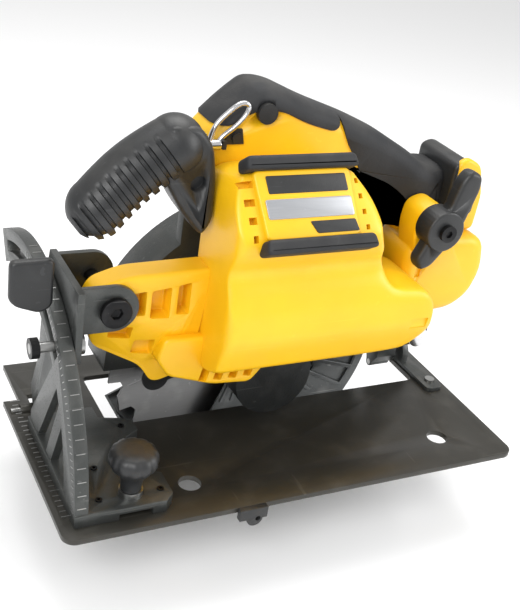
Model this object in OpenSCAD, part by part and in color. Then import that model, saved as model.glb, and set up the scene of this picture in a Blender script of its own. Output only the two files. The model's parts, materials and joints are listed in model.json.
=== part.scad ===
// Hand-held circular saw, battery powered, blade on the right of the motor.
// x = 0 and z of the sole = 0 lie under the arbor, y = 0 is the blade's middle plane.
// The front of the saw points to -x and the motor side to -y. Units are millimetres.

/* [Blade] */
// Diameter over the tooth tips
blade_d = 190; // [160:1:200]
// Thickness of the blade's body
blade_t = 1.6; // [1.2:0.1:2.4]
// Number of teeth
tooth_count = 24; // [16:1:48]
// Bore of the blade
blade_bore = 20; // [16:1:22]

/* [Shoe] */
// Length of the shoe along the cut
shoe_l = 310; // [290:1:330]
// Width of the shoe across the cut
shoe_w = 180; // [176:1:200]
// Thickness of the shoe plate
shoe_t = 3.5; // [2.5:0.5:5]
// Distance from the blade plane to the shoe's outer, blade-side edge
shoe_far = 54; // [46:1:64]
// Diameter of the two round holes in the shoe
shoe_hole_d = 14; // [8:1:18]
// Distance between the two round holes
shoe_hole_pitch = 181; // [150:1:190]
// Width of the channel for a parallel fence bar
fence_w = 20; // [16:1:22]
// Height of the channel for a parallel fence bar
fence_h = 4; // [3:0.5:5]

/* [Depth and bevel] */
// Height of the arbor above the sole in the rest pose
arbor_z = 40; // [36:1:50]
// Distance from the arbor forward to the depth pivot
pivot_fwd = 117; // [112:1:124]
// Height of the depth pivot above the sole
pivot_z = 110; // [104:1:116]
// Diameter of the depth pivot screw
pivot_d = 8; // [6:0.5:10]
// Radius at which the bevel clamp bolt runs in the quadrant
bevel_r = 105; // [100:1:108]
// Width of the bevel quadrant's slot
bevel_slot_w = 7; // [6:0.5:8]
// Greatest bevel angle
bevel_max = 56; // [45:1:56]
// Diameter of the two pins that the saw tilts on
bevel_pin_d = 4; // [3:0.5:4.5]
// Diameter of the depth clamp bolt
depth_bolt_d = 8; // [6:0.5:10]

/* [Motor and gears] */
// Outer diameter of the stator
stator_d = 56; // [46:1:60]
// Stack length of the stator
stator_l = 22; // [16:1:22]
// Diameter of the rotor
rotor_d = 30; // [24:1:34]
// Diameter of the motor shaft
motor_shaft_d = 8; // [6:0.5:9]
// Diameter of the arbor shaft in its bearings
arbor_d = 13; // [11:0.5:14]
// Module of the arbor gear and of its pinion
arbor_module = 1.5; // [1.4:0.05:1.6]
// Module of the motor pinion and of its gear
motor_module = 1.25; // [1.15:0.05:1.3]

/* [Guards] */
// Wall of the upper guard
guard_wall = 2.5; // [2:0.25:3]
// Wall of the lower guard
lower_wall = 1.5; // [1.25:0.25:2]

/* [Handles] */
// Width of the main handle across the saw
handle_w = 34; // [30:1:38]
// Wall of the moulded shells
shell_wall = 2.6; // [2:0.1:3]

/* [Fits] */
// Radial clearance of a running shaft
run_clear = 0.05; // [0.02:0.01:0.1]
// Gap between pieces that slide past each other
slide_gap = 0.5; // [0.3:0.1:0.8]
// Gap between the blade's tips and the lower guard's rim
blade_gap = 2; // [1.5:0.25:3]

/* [Hidden] */
$fn = 64;

// Overall places
shoe_x0 = -157;
shoe_x1 = shoe_x0 + shoe_l;
shoe_y1 = shoe_far;
shoe_y0 = shoe_far - shoe_w;
slot_y0 = -30;
slot_y1 = 28;
blade_r = blade_d / 2;
slot_x0 = -blade_r - 5;
slot_x1 = 133;
bevel_z = shoe_t;
pivot_x = -pivot_fwd;

// Guards
lower_r1 = blade_r + blade_gap + lower_wall;
lower_y0 = -13.5;
lower_y1 = 10.5;
upper_r0 = lower_r1 + 1.5;
upper_r1 = upper_r0 + guard_wall;
upper_y0 = -19;
upper_y1 = lower_y1 + 0.7 + guard_wall;
hub_r = 24;

// Gear train, all axes parallel to y and one above the other
arbor_teeth = 28;
arbor_pinion_teeth = 14;
idler_teeth = 36;
motor_pinion_teeth = 12;
idler_z = arbor_z + arbor_module * (arbor_teeth + arbor_pinion_teeth) / 2;
motor_z = idler_z + motor_module * (idler_teeth + motor_pinion_teeth) / 2;
idler_shaft_d = 9;
arbor_gear_y0 = -46;
arbor_gear_y1 = -36;
idler_gear_y0 = -33;
idler_gear_y1 = -26;
case_y0 = -54;
case_y1 = upper_y0;
case_wall = 3;
boss_d = 30;
boss_y1 = -8;
case_arbor_r = arbor_module * (arbor_teeth / 2 + 1) + 1 + case_wall;
case_idler_r = motor_module * (idler_teeth / 2 + 1) + 1 + case_wall;
bearing_w = 5;

// Motor
stator_y0 = -84;
fan_y0 = -61;
rear_bearing_y0 = -92;
motor_bore = stator_d / 2 + 0.2;

// Depth clamp
depth_bolt_x = 123;
depth_bolt_z = 45;
depth_r = sqrt(pow(depth_bolt_x - pivot_x, 2) + pow(pivot_z - depth_bolt_z, 2));
depth_a0 = -asin((pivot_z - depth_bolt_z) / depth_r);
depth_down = 3;
depth_up = 25;
depth_strip_w = 16;
depth_strip_y0 = -4;
depth_strip_y1 = -1;

// Bevel clamp, measured from straight up towards the motor side
bevel_a0 = 36;
bevel_bolt_d = bevel_slot_w - 1;
bolt_y = -bevel_r * sin(bevel_a0);
bolt_z = bevel_z + bevel_r * cos(bevel_a0);
quad_x0 = -149;
quad_x1 = -141;
quad_r1 = 116;
quad_r0 = 95;
tilt_x0 = quad_x1 + slide_gap;
tilt_x1 = tilt_x0 + 4;
bevel_knuckle_r = 3.3;
bevel_pin_x0 = shoe_x0 + 2;
bevel_pin_x1 = -127;
rear_pin_x0 = 113;
rear_pin_x1 = slot_x1 + 14;

// Rear housing and the depth lever on it
rear_y0 = -60;
rear_y1 = upper_y0;
lever_x = 92;
lever_z = 147;

// Dust port
dust_z = 114;
dust_d = 18;

// Handle
handle_y = -22;
handle_y0 = handle_y - handle_w / 2;
handle_y1 = handle_y + handle_w / 2;

// ---------- helpers ----------

// Extrudes an outline drawn in x and z between two values of y
module along_y(y0, y1) {
    translate([0, y1, 0])
        rotate([90, 0, 0])
            linear_extrude(y1 - y0)
                children();
}

// Extrudes an outline drawn in y and z between two values of x
module along_x(x0, x1) {
    translate([x0, 0, 0])
        rotate([90, 0, 90])
            linear_extrude(x1 - x0)
                children();
}

// Round bar along y
module rod_y(x, z, d, y0, y1) {
    translate([x, y1, z])
        rotate([90, 0, 0])
            cylinder(h = y1 - y0, d = d);
}

// Round bar along x
module rod_x(y, z, d, x0, x1) {
    translate([x0, y, z])
        rotate([0, 90, 0])
            cylinder(h = x1 - x0, d = d);
}

// Round bar along z
module rod_z(x, y, d, z0, z1) {
    translate([x, y, z0])
        cylinder(h = z1 - z0, d = d);
}

// Rectangle with round corners, from one corner to the other
module round_rect(x0, y0, x1, y1, r) {
    translate([x0 + r, y0])
        square([x1 - x0 - 2 * r, y1 - y0]);
    translate([x0, y0 + r])
        square([x1 - x0, y1 - y0 - 2 * r]);
    for (x = [x0 + r, x1 - r], y = [y0 + r, y1 - r])
        translate([x, y])
            circle(r);
}

// Sector of a ring between two angles
module ring_sector(r0, r1, a0, a1) {
    steps = max(2, ceil((a1 - a0) / 30));
    far = 2 * r1;
    intersection() {
        difference() {
            circle(r1);
            circle(r0);
        }
        polygon(concat([[0, 0]], [for (i = [0 : steps]) let (a = a0 + (a1 - a0) * i / steps)
            [far * cos(a), far * sin(a)]]));
    }
}

// Bar with round ends between two points
module link(p, q, w) {
    dx = q[0] - p[0];
    dy = q[1] - p[1];
    translate(p)
        rotate(atan2(dy, dx))
            translate([0, -w / 2])
                square([norm([dx, dy]), w]);
    translate(p)
        circle(d = w);
    translate(q)
        circle(d = w);
}

// Curved slot of a given width along a circle
module arc_slot(r, w, a0, a1) {
    ring_sector(r - w / 2, r + w / 2, a0, a1);
    for (a = [a0, a1])
        translate([r * cos(a), r * sin(a)])
            circle(d = w);
}

// Outline of a spur gear with straight-sided teeth that have room on both flanks
module gear_outline(m, teeth, turn) {
    r = m * teeth / 2;
    pitch = 360 / teeth;
    root = r - 1.25 * m;
    tip = r + 0.95 * m;
    backlash = 0.14 * m;
    half = (m * PI / 4 - backlash) / r * 180 / PI;
    polygon([for (i = [0 : teeth - 1]) let (a = turn + i * pitch)
        each [
            [root * cos(a - half * 1.45), root * sin(a - half * 1.45)],
            [r * cos(a - half), r * sin(a - half)],
            [tip * cos(a - half * 0.42), tip * sin(a - half * 0.42)],
            [tip * cos(a + half * 0.42), tip * sin(a + half * 0.42)],
            [r * cos(a + half), r * sin(a + half)],
            [root * cos(a + half * 1.45), root * sin(a + half * 1.45)]
        ]]);
}

// Screw along -y with a round head and a hexagon recess, the head's top at y
module screw_y(x, z, y, head_d, head_h, d, l) {
    difference() {
        union() {
            rod_y(x, z, head_d, y, y + head_h);
            rod_y(x, z, d, y + head_h, y + head_h + l);
        }
        translate([x, y + head_h * 0.6, z])
            rotate([90, 0, 0])
                cylinder(h = head_h, d = head_d * 0.5, $fn = 6);
    }
}

// ---------- shoe ----------

module shoe_plate() {
    front_step = 10;
    hole_x = -72;
    hole_y = -97;
    color([0.2, 0.2, 0.18])
        difference() {
            union() {
                linear_extrude(shoe_t)
                    difference() {
                        round_rect(shoe_x0, shoe_y0, shoe_x1, shoe_y1, 8);
                        translate([shoe_x0 - 1, 12])
                            square([front_step + 1, shoe_y1]);
                        round_rect(slot_x0, slot_y0, slot_x1, slot_y1, 4);
                        for (x = [hole_x, hole_x + shoe_hole_pitch])
                            translate([x, hole_y])
                                circle(d = shoe_hole_d);
                        // window that the tilting plate's foot swings in
                        translate([tilt_x0 - slide_gap, -13])
                            square([tilt_x1 - tilt_x0 + 2 * slide_gap, 29]);
                    }
                // knuckles on both sides of the window
                for (x = [[quad_x0, tilt_x0 - slide_gap], [tilt_x1 + slide_gap, bevel_pin_x1]])
                    along_x(x[0], x[1])
                        intersection() {
                            translate([0, bevel_z])
                                circle(bevel_pin_d);
                            translate([-10, 0.5])
                                square([20, 20]);
                        }
            }
            // seats of the bevel pins
            rod_x(0, bevel_z, bevel_pin_d, bevel_pin_x0, bevel_pin_x1 + 1);
            rod_x(0, bevel_z, bevel_pin_d, slot_x1 - 1, rear_pin_x1);
        }
}

module edge_hook() {
    color([0.12, 0.12, 0.12])
        translate([-44, shoe_y0 - 4, 0])
            along_y(0, 4)
                difference() {
                    union() {
                        translate([-9, -4])
                            square([18, 7.5]);
                        translate([1, -4])
                            circle(d = 10);
                    }
                    translate([3, -4])
                        circle(d = 3.4);
                }
}

foot_z = shoe_t;
foot_t = 8;
foot_y0 = -117;
fence_x = -113;
fence_y = -105;
foot_screw_places = [[-132, -106], [-95, -106], [-126, -78], [-97, -42]];

module bevel_quadrant() {
    color([0.25, 0.27, 0.26])
        difference() {
            union() {
                // foot with a near pad, a far pad and a hollow between them
                translate([0, 0, foot_z])
                    linear_extrude(foot_t)
                        polygon([[quad_x0, foot_y0], [-95, foot_y0], [-89, foot_y0 + 6], [-89, -92], [-101, -84],
                            [-104, -68], [-98, -54], [-88, -48], [-88, -38], [-94, -34], [-108, -30], [-108, -18],
                            [quad_x0, -18]]);
                // arc that carries the slot, rising out of the foot
                translate([0, 0, bevel_z])
                    along_x(quad_x0, quad_x1)
                        rotate(90)
                            ring_sector(quad_r0, quad_r1, bevel_a0 - bevel_max - 9, 87);
                // gussets from the foot to the arc
                along_x(quad_x0 + 1, quad_x0 + 6)
                    polygon([[-34, foot_z + 2], [-20, foot_z + 2], [-20, foot_z + 14], [-63, 80], [-72, 71]]);
                along_x(quad_x0 + 1, quad_x0 + 6)
                    polygon([[-62, foot_z + 2], [-52, foot_z + 2], [-77, 64], [-85, 56]]);
            }
            // slot for the clamp bolt
            translate([0, 0, bevel_z])
                along_x(quad_x0 - 1, quad_x1 + 1)
                    rotate(90)
                        ring_sector(bevel_r - bevel_slot_w / 2, bevel_r + bevel_slot_w / 2,
                            bevel_a0 - bevel_max - 4, bevel_a0 + 4);
            // channel for the fence bar
            translate([fence_x - fence_w / 2, foot_y0 - 1, foot_z - 1])
                cube([fence_w, 120, fence_h + 1]);
            // clearance for the fence stud and the screws
            rod_z(fence_x, fence_y, stud_d, foot_z, foot_z + foot_t + 1);
            for (p = foot_screw_places)
                rod_z(p[0], p[1], 4, foot_z + 2, foot_z + foot_t + 1);
        }
}

module quadrant_screws() {
    color([0.1, 0.1, 0.1])
        for (p = foot_screw_places) {
            difference() {
                rod_z(p[0], p[1], 4, foot_z + 2, foot_z + foot_t + 0.6);
                translate([p[0], p[1], foot_z + foot_t - 1])
                    cylinder(h = 3, d = 2.2, $fn = 6);
            }
        }
}

knob_z = foot_z + foot_t;
stud_d = 6;

module fence_stud() {
    color([0.45, 0.45, 0.45]) {
        rod_z(fence_x, fence_y, stud_d, foot_z + fence_h, knob_z + 24);
        rod_z(fence_x, fence_y, 14, knob_z, knob_z + 4);
    }
}

module fence_knob() {
    color([0.1, 0.1, 0.1])
        translate([fence_x, fence_y, knob_z + 4.3])
            difference() {
                rotate_extrude()
                    polygon([[0, 0], [6.5, 0], [6.5, 4], [9, 9], [13, 16], [14.5, 19], [14, 22],
                        [11, 25], [6, 26.5], [0, 27]]);
                translate([0, 0, -1])
                    cylinder(h = 22, d = stud_d + 2 * run_clear);
            }
}

module rear_bevel_foot() {
    color([0.2, 0.22, 0.22])
        difference() {
            union() {
                translate([0, 0, foot_z])
                    linear_extrude(3)
                        round_rect(slot_x1 + 1, -48, slot_x1 + 15, 20, 4);
                along_x(slot_x1 + 1, slot_x1 + 6)
                    union() {
                        translate([-12, foot_z])
                            square([24, 8]);
                        translate([0, foot_z + 8])
                            circle(12);
                    }
            }
            rod_x(0, bevel_z, bevel_pin_d, slot_x1 - 1, rear_pin_x1);
            translate([slot_x1 - 5, -12, foot_z - 20])
                cube([30, 24, 20]);
            for (y = [-38, 14])
                rod_z(slot_x1 + 9, y, 4, foot_z - 1, foot_z + 4);
        }
}

module rear_foot_rivets() {
    color([0.3, 0.3, 0.3])
        for (y = [-38, 14]) {
            rod_z(slot_x1 + 9, y, 4, foot_z, foot_z + 3.1);
            rod_z(slot_x1 + 9, y, 7, foot_z + 3, foot_z + 4.6);
        }
}

module bevel_pins() {
    color([0.6, 0.6, 0.6]) {
        rod_x(0, bevel_z, bevel_pin_d, bevel_pin_x0, bevel_pin_x1);
        rod_x(0, bevel_z, bevel_pin_d, rear_pin_x0, rear_pin_x1);
    }
}

// ---------- tilting frame ----------

arm_y0 = -63;
arm_y1 = -24;
strap_t = 4;
strap_y1 = arm_y0 - slide_gap;
strap_y0 = strap_y1 - strap_t;
far_leg_y0 = arm_y1 + slide_gap;

module tilt_bracket() {
    color([0.25, 0.27, 0.26])
        difference() {
            union() {
                // front plate, from the strap down to the bevel pin
                along_x(tilt_x0, tilt_x1)
                    difference() {
                        union() {
                            polygon([[-3, bevel_z], [3, bevel_z], [8, 18], [-4, 44], [-10, 98], [-18, 126],
                                [bolt_y - 12, 126], [bolt_y - 12, bolt_z - 6], [bolt_y, bolt_z - 12], [-36, 40],
                                [-12, 14]]);
                            translate([0, bevel_z])
                                circle(bevel_knuckle_r);
                        }
                        translate([-34, 72])
                            circle(10);
                    }
                // near and far legs that hold the depth pivot
                for (y = [[strap_y0, strap_y1], [far_leg_y0, far_leg_y0 + strap_t]])
                    along_y(y[0], y[1])
                        union() {
                            translate([tilt_x0, pivot_z - 13])
                                square([pivot_x - tilt_x0, 28]);
                            translate([pivot_x, pivot_z + 1])
                                circle(14);
                        }
            }
            rod_x(0, bevel_z, bevel_pin_d + 2 * run_clear, tilt_x0 - 1, tilt_x1 + 1);
            rod_y(pivot_x, pivot_z, pivot_d, strap_y0 - 1, far_leg_y0 + strap_t + 1);
            rod_x(bolt_y, bolt_z, bevel_bolt_d, tilt_x0 - 1, tilt_x1 + 1);
        }
}

module depth_pivot_screw() {
    color([0.15, 0.15, 0.15])
        difference() {
            union() {
                rod_y(pivot_x, pivot_z, pivot_d, strap_y0, far_leg_y0 + strap_t);
                rod_y(pivot_x, pivot_z, 18, strap_y0 - 4, strap_y0);
            }
            translate([pivot_x, strap_y0 - 1, pivot_z])
                rotate([90, 0, 0])
                    cylinder(h = 5, d = 7, $fn = 6);
        }
}

module rear_depth_bracket() {
    foot_x1 = slot_x1 - 4;
    color([0.3, 0.3, 0.3])
        difference() {
            union() {
                // curved strip about the depth pivot
                translate([pivot_x, 0, pivot_z])
                    along_y(depth_strip_y0, depth_strip_y1)
                        ring_sector(depth_r - depth_strip_w / 2, depth_r + depth_strip_w / 2, depth_a0 - 5.5,
                            depth_a0 + depth_up + 5);
                // foot that turns on the rear bevel pin
                along_x(rear_pin_x0, foot_x1)
                    union() {
                        translate([0, bevel_z])
                            circle(bevel_knuckle_r);
                        polygon([[-3, bevel_z], [3, bevel_z], [6, 12], [6, 24], [-9, 24], [-9, 12]]);
                    }
            }
            rod_x(0, bevel_z, bevel_pin_d + 2 * run_clear, rear_pin_x0 - 1, foot_x1 + 1);
            translate([pivot_x, 0, pivot_z])
                along_y(depth_strip_y0 - 1, depth_strip_y1 + 1)
                    arc_slot(depth_r, depth_bolt_d + 1, depth_a0 - depth_down - 0.4, depth_a0 + depth_up + 0.6);
        }
}

module bevel_clamp_bolt() {
    color([0.5, 0.5, 0.5]) {
        rod_x(bolt_y, bolt_z, bevel_bolt_d, lever_x1 - 13, tilt_x1 + 4);
        rod_x(bolt_y, bolt_z, 13, tilt_x1, tilt_x1 + 4);
    }
}

lever_x1 = quad_x0 - slide_gap;
module bevel_lever() {
    color([0.1, 0.1, 0.1])
        difference() {
            union() {
                rod_x(bolt_y, bolt_z, 20, lever_x1 - 8, lever_x1);
                translate([lever_x1 - 7, bolt_y - 2, bolt_z])
                    cube([7, 10, 32]);
                translate([lever_x1 - 24, bolt_y + 3, bolt_z + 26])
                    cube([24, 5, 26]);
            }
            rod_x(bolt_y, bolt_z, bevel_bolt_d + 2 * run_clear, lever_x1 - 9, lever_x1 + 1);
        }
}

module bevel_lever_nut() {
    color([0.15, 0.15, 0.15])
        difference() {
            rod_x(bolt_y, bolt_z, 12, lever_x1 - 13, lever_x1 - 8 - 0.3);
            rod_x(bolt_y, bolt_z, bevel_bolt_d, lever_x1 - 14, lever_x1 - 8);
        }
}

// ---------- guards and gear case ----------

module upper_guard() {
    color([0.27, 0.29, 0.28])
        difference() {
            translate([0, 0, arbor_z])
                union() {
                    difference() {
                        along_y(upper_y0, upper_y1)
                            intersection() {
                                circle(upper_r1);
                                translate([-200, -2])
                                    square([400, 200]);
                            }
                        along_y(upper_y0 + guard_wall, upper_y1 - guard_wall)
                            intersection() {
                                circle(upper_r0);
                                translate([-200, -3])
                                    square([400, 200]);
                            }
                        // open around the flanges on the blade's outer side
                        along_y(upper_y1 - guard_wall - 1, upper_y1 + 1)
                            circle(34);
                    }
                        // lug up to the handle's front leg
                    difference() {
                        translate([-60, upper_y0, 70])
                            cube([16, 8, 150 - 70 - arbor_z]);
                        along_y(upper_y0 - 1, upper_y1)
                            circle(upper_r0);
                    }
                    // near wall runs on down around the arbor
                    along_y(upper_y0, upper_y0 + guard_wall)
                        circle(case_arbor_r + 2);
                }
            rod_y(0, arbor_z, boss_d, upper_y0 - 1, upper_y0 + guard_wall + 1);
            // opening to the dust port
            rod_x(0, dust_z, dust_d, 62, 120);
        }
}

module case_outline(r_arbor, r_idler, r_motor) {
    union() {
        translate([0, arbor_z])
            circle(r_arbor);
        translate([0, idler_z])
            circle(r_idler);
        translate([0, motor_z])
            circle(r_motor);
        translate([-r_arbor * 0.9, arbor_z])
            square([r_arbor * 1.8, idler_z - arbor_z]);
        translate([-r_motor, idler_z])
            square([2 * r_motor, motor_z - idler_z]);
    }
}

module gear_case() {
    color([0.2, 0.21, 0.21])
        difference() {
            union() {
                along_y(case_y0, case_y1)
                    case_outline(case_arbor_r, case_idler_r, 20);
                // bearing boss that reaches through the guard's near wall
                rod_y(0, arbor_z, boss_d, case_y1 - 1, boss_y1);
            }
            along_y(case_y0 + case_wall, case_y1 - 2)
                case_outline(case_arbor_r - case_wall, case_idler_r - case_wall, 17);
            // bearing seats
            rod_y(0, arbor_z, 22, case_y1 - 3, boss_y1 - 1.5);
            rod_y(0, arbor_z, arbor_d + 1, boss_y1 - 2, boss_y1 + 1);
            rod_y(0, arbor_z, 22, case_y0 + 1, case_y0 + case_wall + 1);
            rod_y(0, motor_z, 19, case_y0 - 1, case_y0 + case_wall + 1);
            rod_y(0, idler_z, 16, case_y0 + 1, case_y0 + case_wall + 1);
            rod_y(0, idler_z, idler_shaft_d + 3, case_y1 - 3, case_y1 + 1);
            for (p = case_screw_places)
                rod_y(p[0], p[1], 4, case_y0 - 1, case_y0 + case_wall + 1);
            // hole of the spindle lock
            rod_x(lock_y, arbor_z, 6 + 2 * run_clear, -40, -10);
        }
}

case_screw_places = [[-24, idler_z - 8], [24, idler_z - 8], [-12, motor_z + 10], [12, motor_z + 10]];

module gear_case_screws() {
    color([0.15, 0.15, 0.15])
        for (p = case_screw_places)
            screw_y(p[0], p[1], case_y0 - 1.2, 6, 1.2, 4, case_wall);
}

// ---------- motor housing ----------

house_y0 = -96;
house_y1 = handle_y0;
drum_top = 194;
slope = 35;
slope_z = 160;
house_x0 = -60;

module housing_outline() {
    polygon([[house_x0, 62], [-44, 52], [-20, 50], [-12, 62], [26, 66], [72, 74], [84, 88], [84, 108],
        [76, 117], [46, 119], [40, 136], [28, 176], [12, drum_top], [-38, drum_top], [-54, 188], [house_x0, 180]]);
}

// Body of the housing with its sloped label face, drawn in on all sides by an inset
module housing_body(inset) {
    difference() {
        along_y(house_y0 + inset, house_y1 - inset)
            offset(delta = -inset)
                housing_outline();
        translate([-100, house_y0, slope_z])
            rotate([-slope, 0, 0])
                translate([0, -60, -20])
                    cube([200, 60 + inset, 90]);
    }
}

module motor_housing() {
    color([1, 0.8, 0.05])
        difference() {
            union() {
                // main body, over the motor
                difference() {
                    housing_body(0);
                    housing_body(shell_wall);
                }
                // ring and ribs that hold the stator
                along_y(stator_y0, stator_y0 + stator_l)
                    intersection() {
                        difference() {
                            union() {
                                translate([0, motor_z])
                                    circle(motor_bore + 3);
                                translate([-70, motor_z - 1.5])
                                    square([160, 3]);
                            }
                            translate([0, motor_z])
                                circle(motor_bore);
                        }
                        offset(delta = -shell_wall / 2)
                            housing_outline();
                    }
                // boss of the rear bearing
                rod_y(0, motor_z, 25, house_y0 + 1, rear_bearing_y0 + bearing_w);
                // nose arm out to the depth pivot
                along_y(arm_y0, arm_y1)
                    polygon([[-128, 97], [-131, 110], [-127, 121], [-108, 127], [house_x0 + 1, 127],
                        [house_x0 + 1, 54], [-84, 50], [-90, 62], [-124, 80]]);
                // pad that seats the arm on the upper guard
                translate([-74, arm_y1 - 1, 60])
                    cube([16, upper_y0 - arm_y1 + 1, 44]);
            }
            // seat on the gear case
            along_y(case_y0, house_y1 + 1)
                case_outline(case_arbor_r, case_idler_r, 20);
            // room for the depth pivot
            rod_y(pivot_x, pivot_z, pivot_d + 2 * run_clear, arm_y0 - 1, arm_y1 + 1);
            // pockets in the arm's near face
            for (p = [[-112, 100, 8, 16], [-99, 90, 13, 30], [-81, 86, 16, 34]])
                translate([p[0], arm_y0 - 1, p[1]])
                    cube([p[2], 7, p[3]]);
            // opening below the end cap
            on_slope()
                translate([cap_x0 + 4, -1, 4])
                    cube([cap_x1 - cap_x0 - 8, 2 * shell_wall, cap_h - 8]);
            // bearing seat
            rod_y(0, motor_z, 19, rear_bearing_y0, rear_bearing_y0 + bearing_w + 1);
            // holes of the lower screws
            for (p = housing_screw_places)
                rod_y(p[0], p[1], 4, p[2] - 1, p[2] + 9);
        }
}

// where the housing's screws sit: x, z and the y of the face
housing_screw_places = [[-68, 108, arm_y0], [-50, 100, house_y0], [26, 106, house_y0], [66, 104, house_y0],
    [99, 112, rear_y0]];

module housing_screws() {
    color([0.1, 0.1, 0.1])
        for (p = housing_screw_places)
            screw_y(p[0], p[1], p[2] - 1.5, 11, 1.5, 4, 7);
}

// Frame of the sloped label face: x stays, the local y points out of the face
module on_slope() {
    translate([0, house_y0, slope_z])
        rotate([-slope, 0, 0])
            children();
}

cap_x0 = -48;
cap_x1 = 14;
cap_h = 40;

module motor_end_cap() {
    color([1, 0.8, 0.05])
        on_slope()
            difference() {
                translate([cap_x0, -5, 0])
                    cube([cap_x1 - cap_x0, 5, cap_h]);
                // vents below the badges
                for (i = [0, 1])
                    translate([cap_x0 + 8, -6, 4 + 3.4 * i])
                        cube([20 + 6 * i, 3, 1.2]);
            }
}

module end_cap_bumpers() {
    color([0.15, 0.15, 0.15])
        on_slope() {
            for (z = [-7, cap_h + 0.01])
                difference() {
                    translate([cap_x0 - 2, -8, z])
                        cube([cap_x1 - cap_x0 + 4, 8, 7]);
                    translate([cap_x0 - 3, -9, z < 0 ? z - 1 : z + 5])
                        cube([cap_x1 - cap_x0 + 6, 2, 3]);
                }
        }
}

module badge_plates() {
    on_slope() {
        color([0.75, 0.77, 0.8])
            translate([cap_x0 + 6, -5.6, 12])
                cube([cap_x1 - cap_x0 - 12, 0.6, 10]);
        color([0.2, 0.22, 0.22])
            translate([cap_x0 + 32, -5.6, 3])
                cube([cap_x1 - cap_x0 - 38, 0.6, 8]);
        color([0.12, 0.12, 0.12])
            translate([cap_x0 + 6, -5.6, 26])
                cube([cap_x1 - cap_x0 - 14, 0.6, 10]);
    }
}

module rear_outline() {
    polygon([[84, 88], [104, 78], [124, 80], [138, 90], [145, 108], [140, 128], [132, 134], [118, 134],
        [118, 128], [79, 128], [79, 117], [84, 111]]);
}

module rear_housing() {
    color([1, 0.8, 0.05])
        difference() {
            union() {
                difference() {
                    along_y(rear_y0, rear_y1)
                        rear_outline();
                    along_y(rear_y0 + shell_wall, rear_y1 - shell_wall)
                        offset(delta = -shell_wall)
                            rear_outline();
                }
                // ear that carries the depth lever
                along_y(rear_y0, handle_y0 - 1)
                    polygon([[lever_x - 12, lever_z], [lever_x - 7, lever_z + 9], [lever_x + 5, lever_z + 10],
                        [lever_x + 11, lever_z + 3], [116, 126], [108, 122], [88, 123]]);
                rod_y(lever_x, lever_z, 12, rear_y0 - 14, rear_y0 + 2);
            }
            rod_y(lever_x, lever_z, 4, rear_y0 - 15, rear_y0 - 4);
            rod_y(99, 112, 4, rear_y0 - 1, rear_y0 + 9);
        }
}

// ---------- handles ----------

module handle_outline() {
    polygon([[-64, 180], [-58, 200], [-41, 216], [-30, 226], [-22, 226], [-8, 220], [5, 214], [38, 203],
        [62, 193], [84, 181], [97, 173], [112, 173], [117.5, 150], [117.5, 128], [82, 128], [80, 146], [66, 157],
        [46, 165], [24, 172], [-26, 172], [-38, 166], [-42, 150], [-60, 150]]);
}

module handle_shell(y0, y1, open_y0, open_y1) {
    difference() {
        along_y(y0, y1)
            handle_outline();
        along_y(open_y0, open_y1)
            offset(delta = -shell_wall)
                handle_outline();
        // opening of the trigger
        translate([-24, handle_y - 10, 150])
            cube([46, 20, 30]);
        // bore of the lock-off button
        rod_y(button_x, button_z, button_d + 2 * run_clear, handle_y0 - 1, handle_y1 + 1);
        rod_y(trigger_x, trigger_z, trigger_pin_d + 2 * run_clear, handle_y0 + 1.2, handle_y1 - 1.2);
    }
}

button_x = -26;
button_z = 213;
button_d = 12;
button_travel = 3;
trigger_x = -16;
trigger_z = 186;
trigger_pin_d = 4;

module handle_near() {
    color([1, 0.8, 0.05])
        handle_shell(handle_y0, handle_y, handle_y0 + shell_wall, handle_y + 1);
}

module handle_far() {
    color([1, 0.8, 0.05])
        handle_shell(handle_y, handle_y1, handle_y - 1, handle_y1 - shell_wall);
}

cover_t = 1.5;
module grip_cover() {
    color([0.15, 0.15, 0.16])
        difference() {
            along_y(handle_y0 - cover_t, handle_y1 + cover_t)
                intersection() {
                    offset(delta = cover_t)
                        handle_outline();
                    polygon([[31, 240], [31, 150], [46, 144], [74, 144], [76, 160], [112, 160], [112, 240]]);
                }
            along_y(handle_y0, handle_y1)
                handle_outline();
        }
}

front_y0 = -67;
front_r = 15.5;
front_l = 52;
module front_handle() {
    color([0.14, 0.15, 0.15])
        difference() {
            union() {
                // grip with round ends, leaning forward
                translate([-88, -52, 201])
                    rotate([0, -130, 0])
                        rotate_extrude()
                            polygon(concat(
                                [for (i = [0 : 6]) let (a = -90 + 15 * i) [front_r * cos(a), front_r * sin(a)]],
                                [for (i = [0 : 6]) let (a = 15 * i)
                                    [front_r * cos(a), front_l + front_r * sin(a)]]));
                along_y(front_y0 + 3, handle_y0)
                    polygon([[-94, 212], [-76, 212], [-66, 202], [house_x0 - 5, 182], [house_x0, 180],
                        [house_x0, 158], [-66, 148], [-84, 168], [-92, 186]]);
            }
            rod_y(-68, 182, 10, front_y0, front_y0 + 12);
        }
}

bat_x0 = 117.5;
bat_x1 = 142;
bat_y0 = -52;
bat_y1 = depth_strip_y0 - slide_gap - 0.5;
bat_z0 = 134;
bat_z1 = 180;
module battery_receptacle() {
    color([1, 0.8, 0.05])
        difference() {
            along_y(bat_y0, bat_y1)
                polygon([[bat_x0, bat_z0], [bat_x1 - 6, bat_z0], [bat_x1, bat_z0 + 6], [bat_x1, bat_z1 - 8],
                    [bat_x1 - 9, bat_z1], [bat_x0 + 4, bat_z1], [bat_x0, bat_z1 - 6]]);
            // socket with rails for a battery
            translate([bat_x0 + 10, bat_y0 + 5, bat_z0 + 8])
                cube([bat_x1 - bat_x0, bat_y1 - bat_y0 - 10, bat_z1 - bat_z0 - 22]);
            translate([bat_x0 + 14, bat_y0 + 2.4, bat_z0 + 22])
                cube([bat_x1 - bat_x0, bat_y1 - bat_y0 - 4.8, 4]);
        }
}

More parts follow.
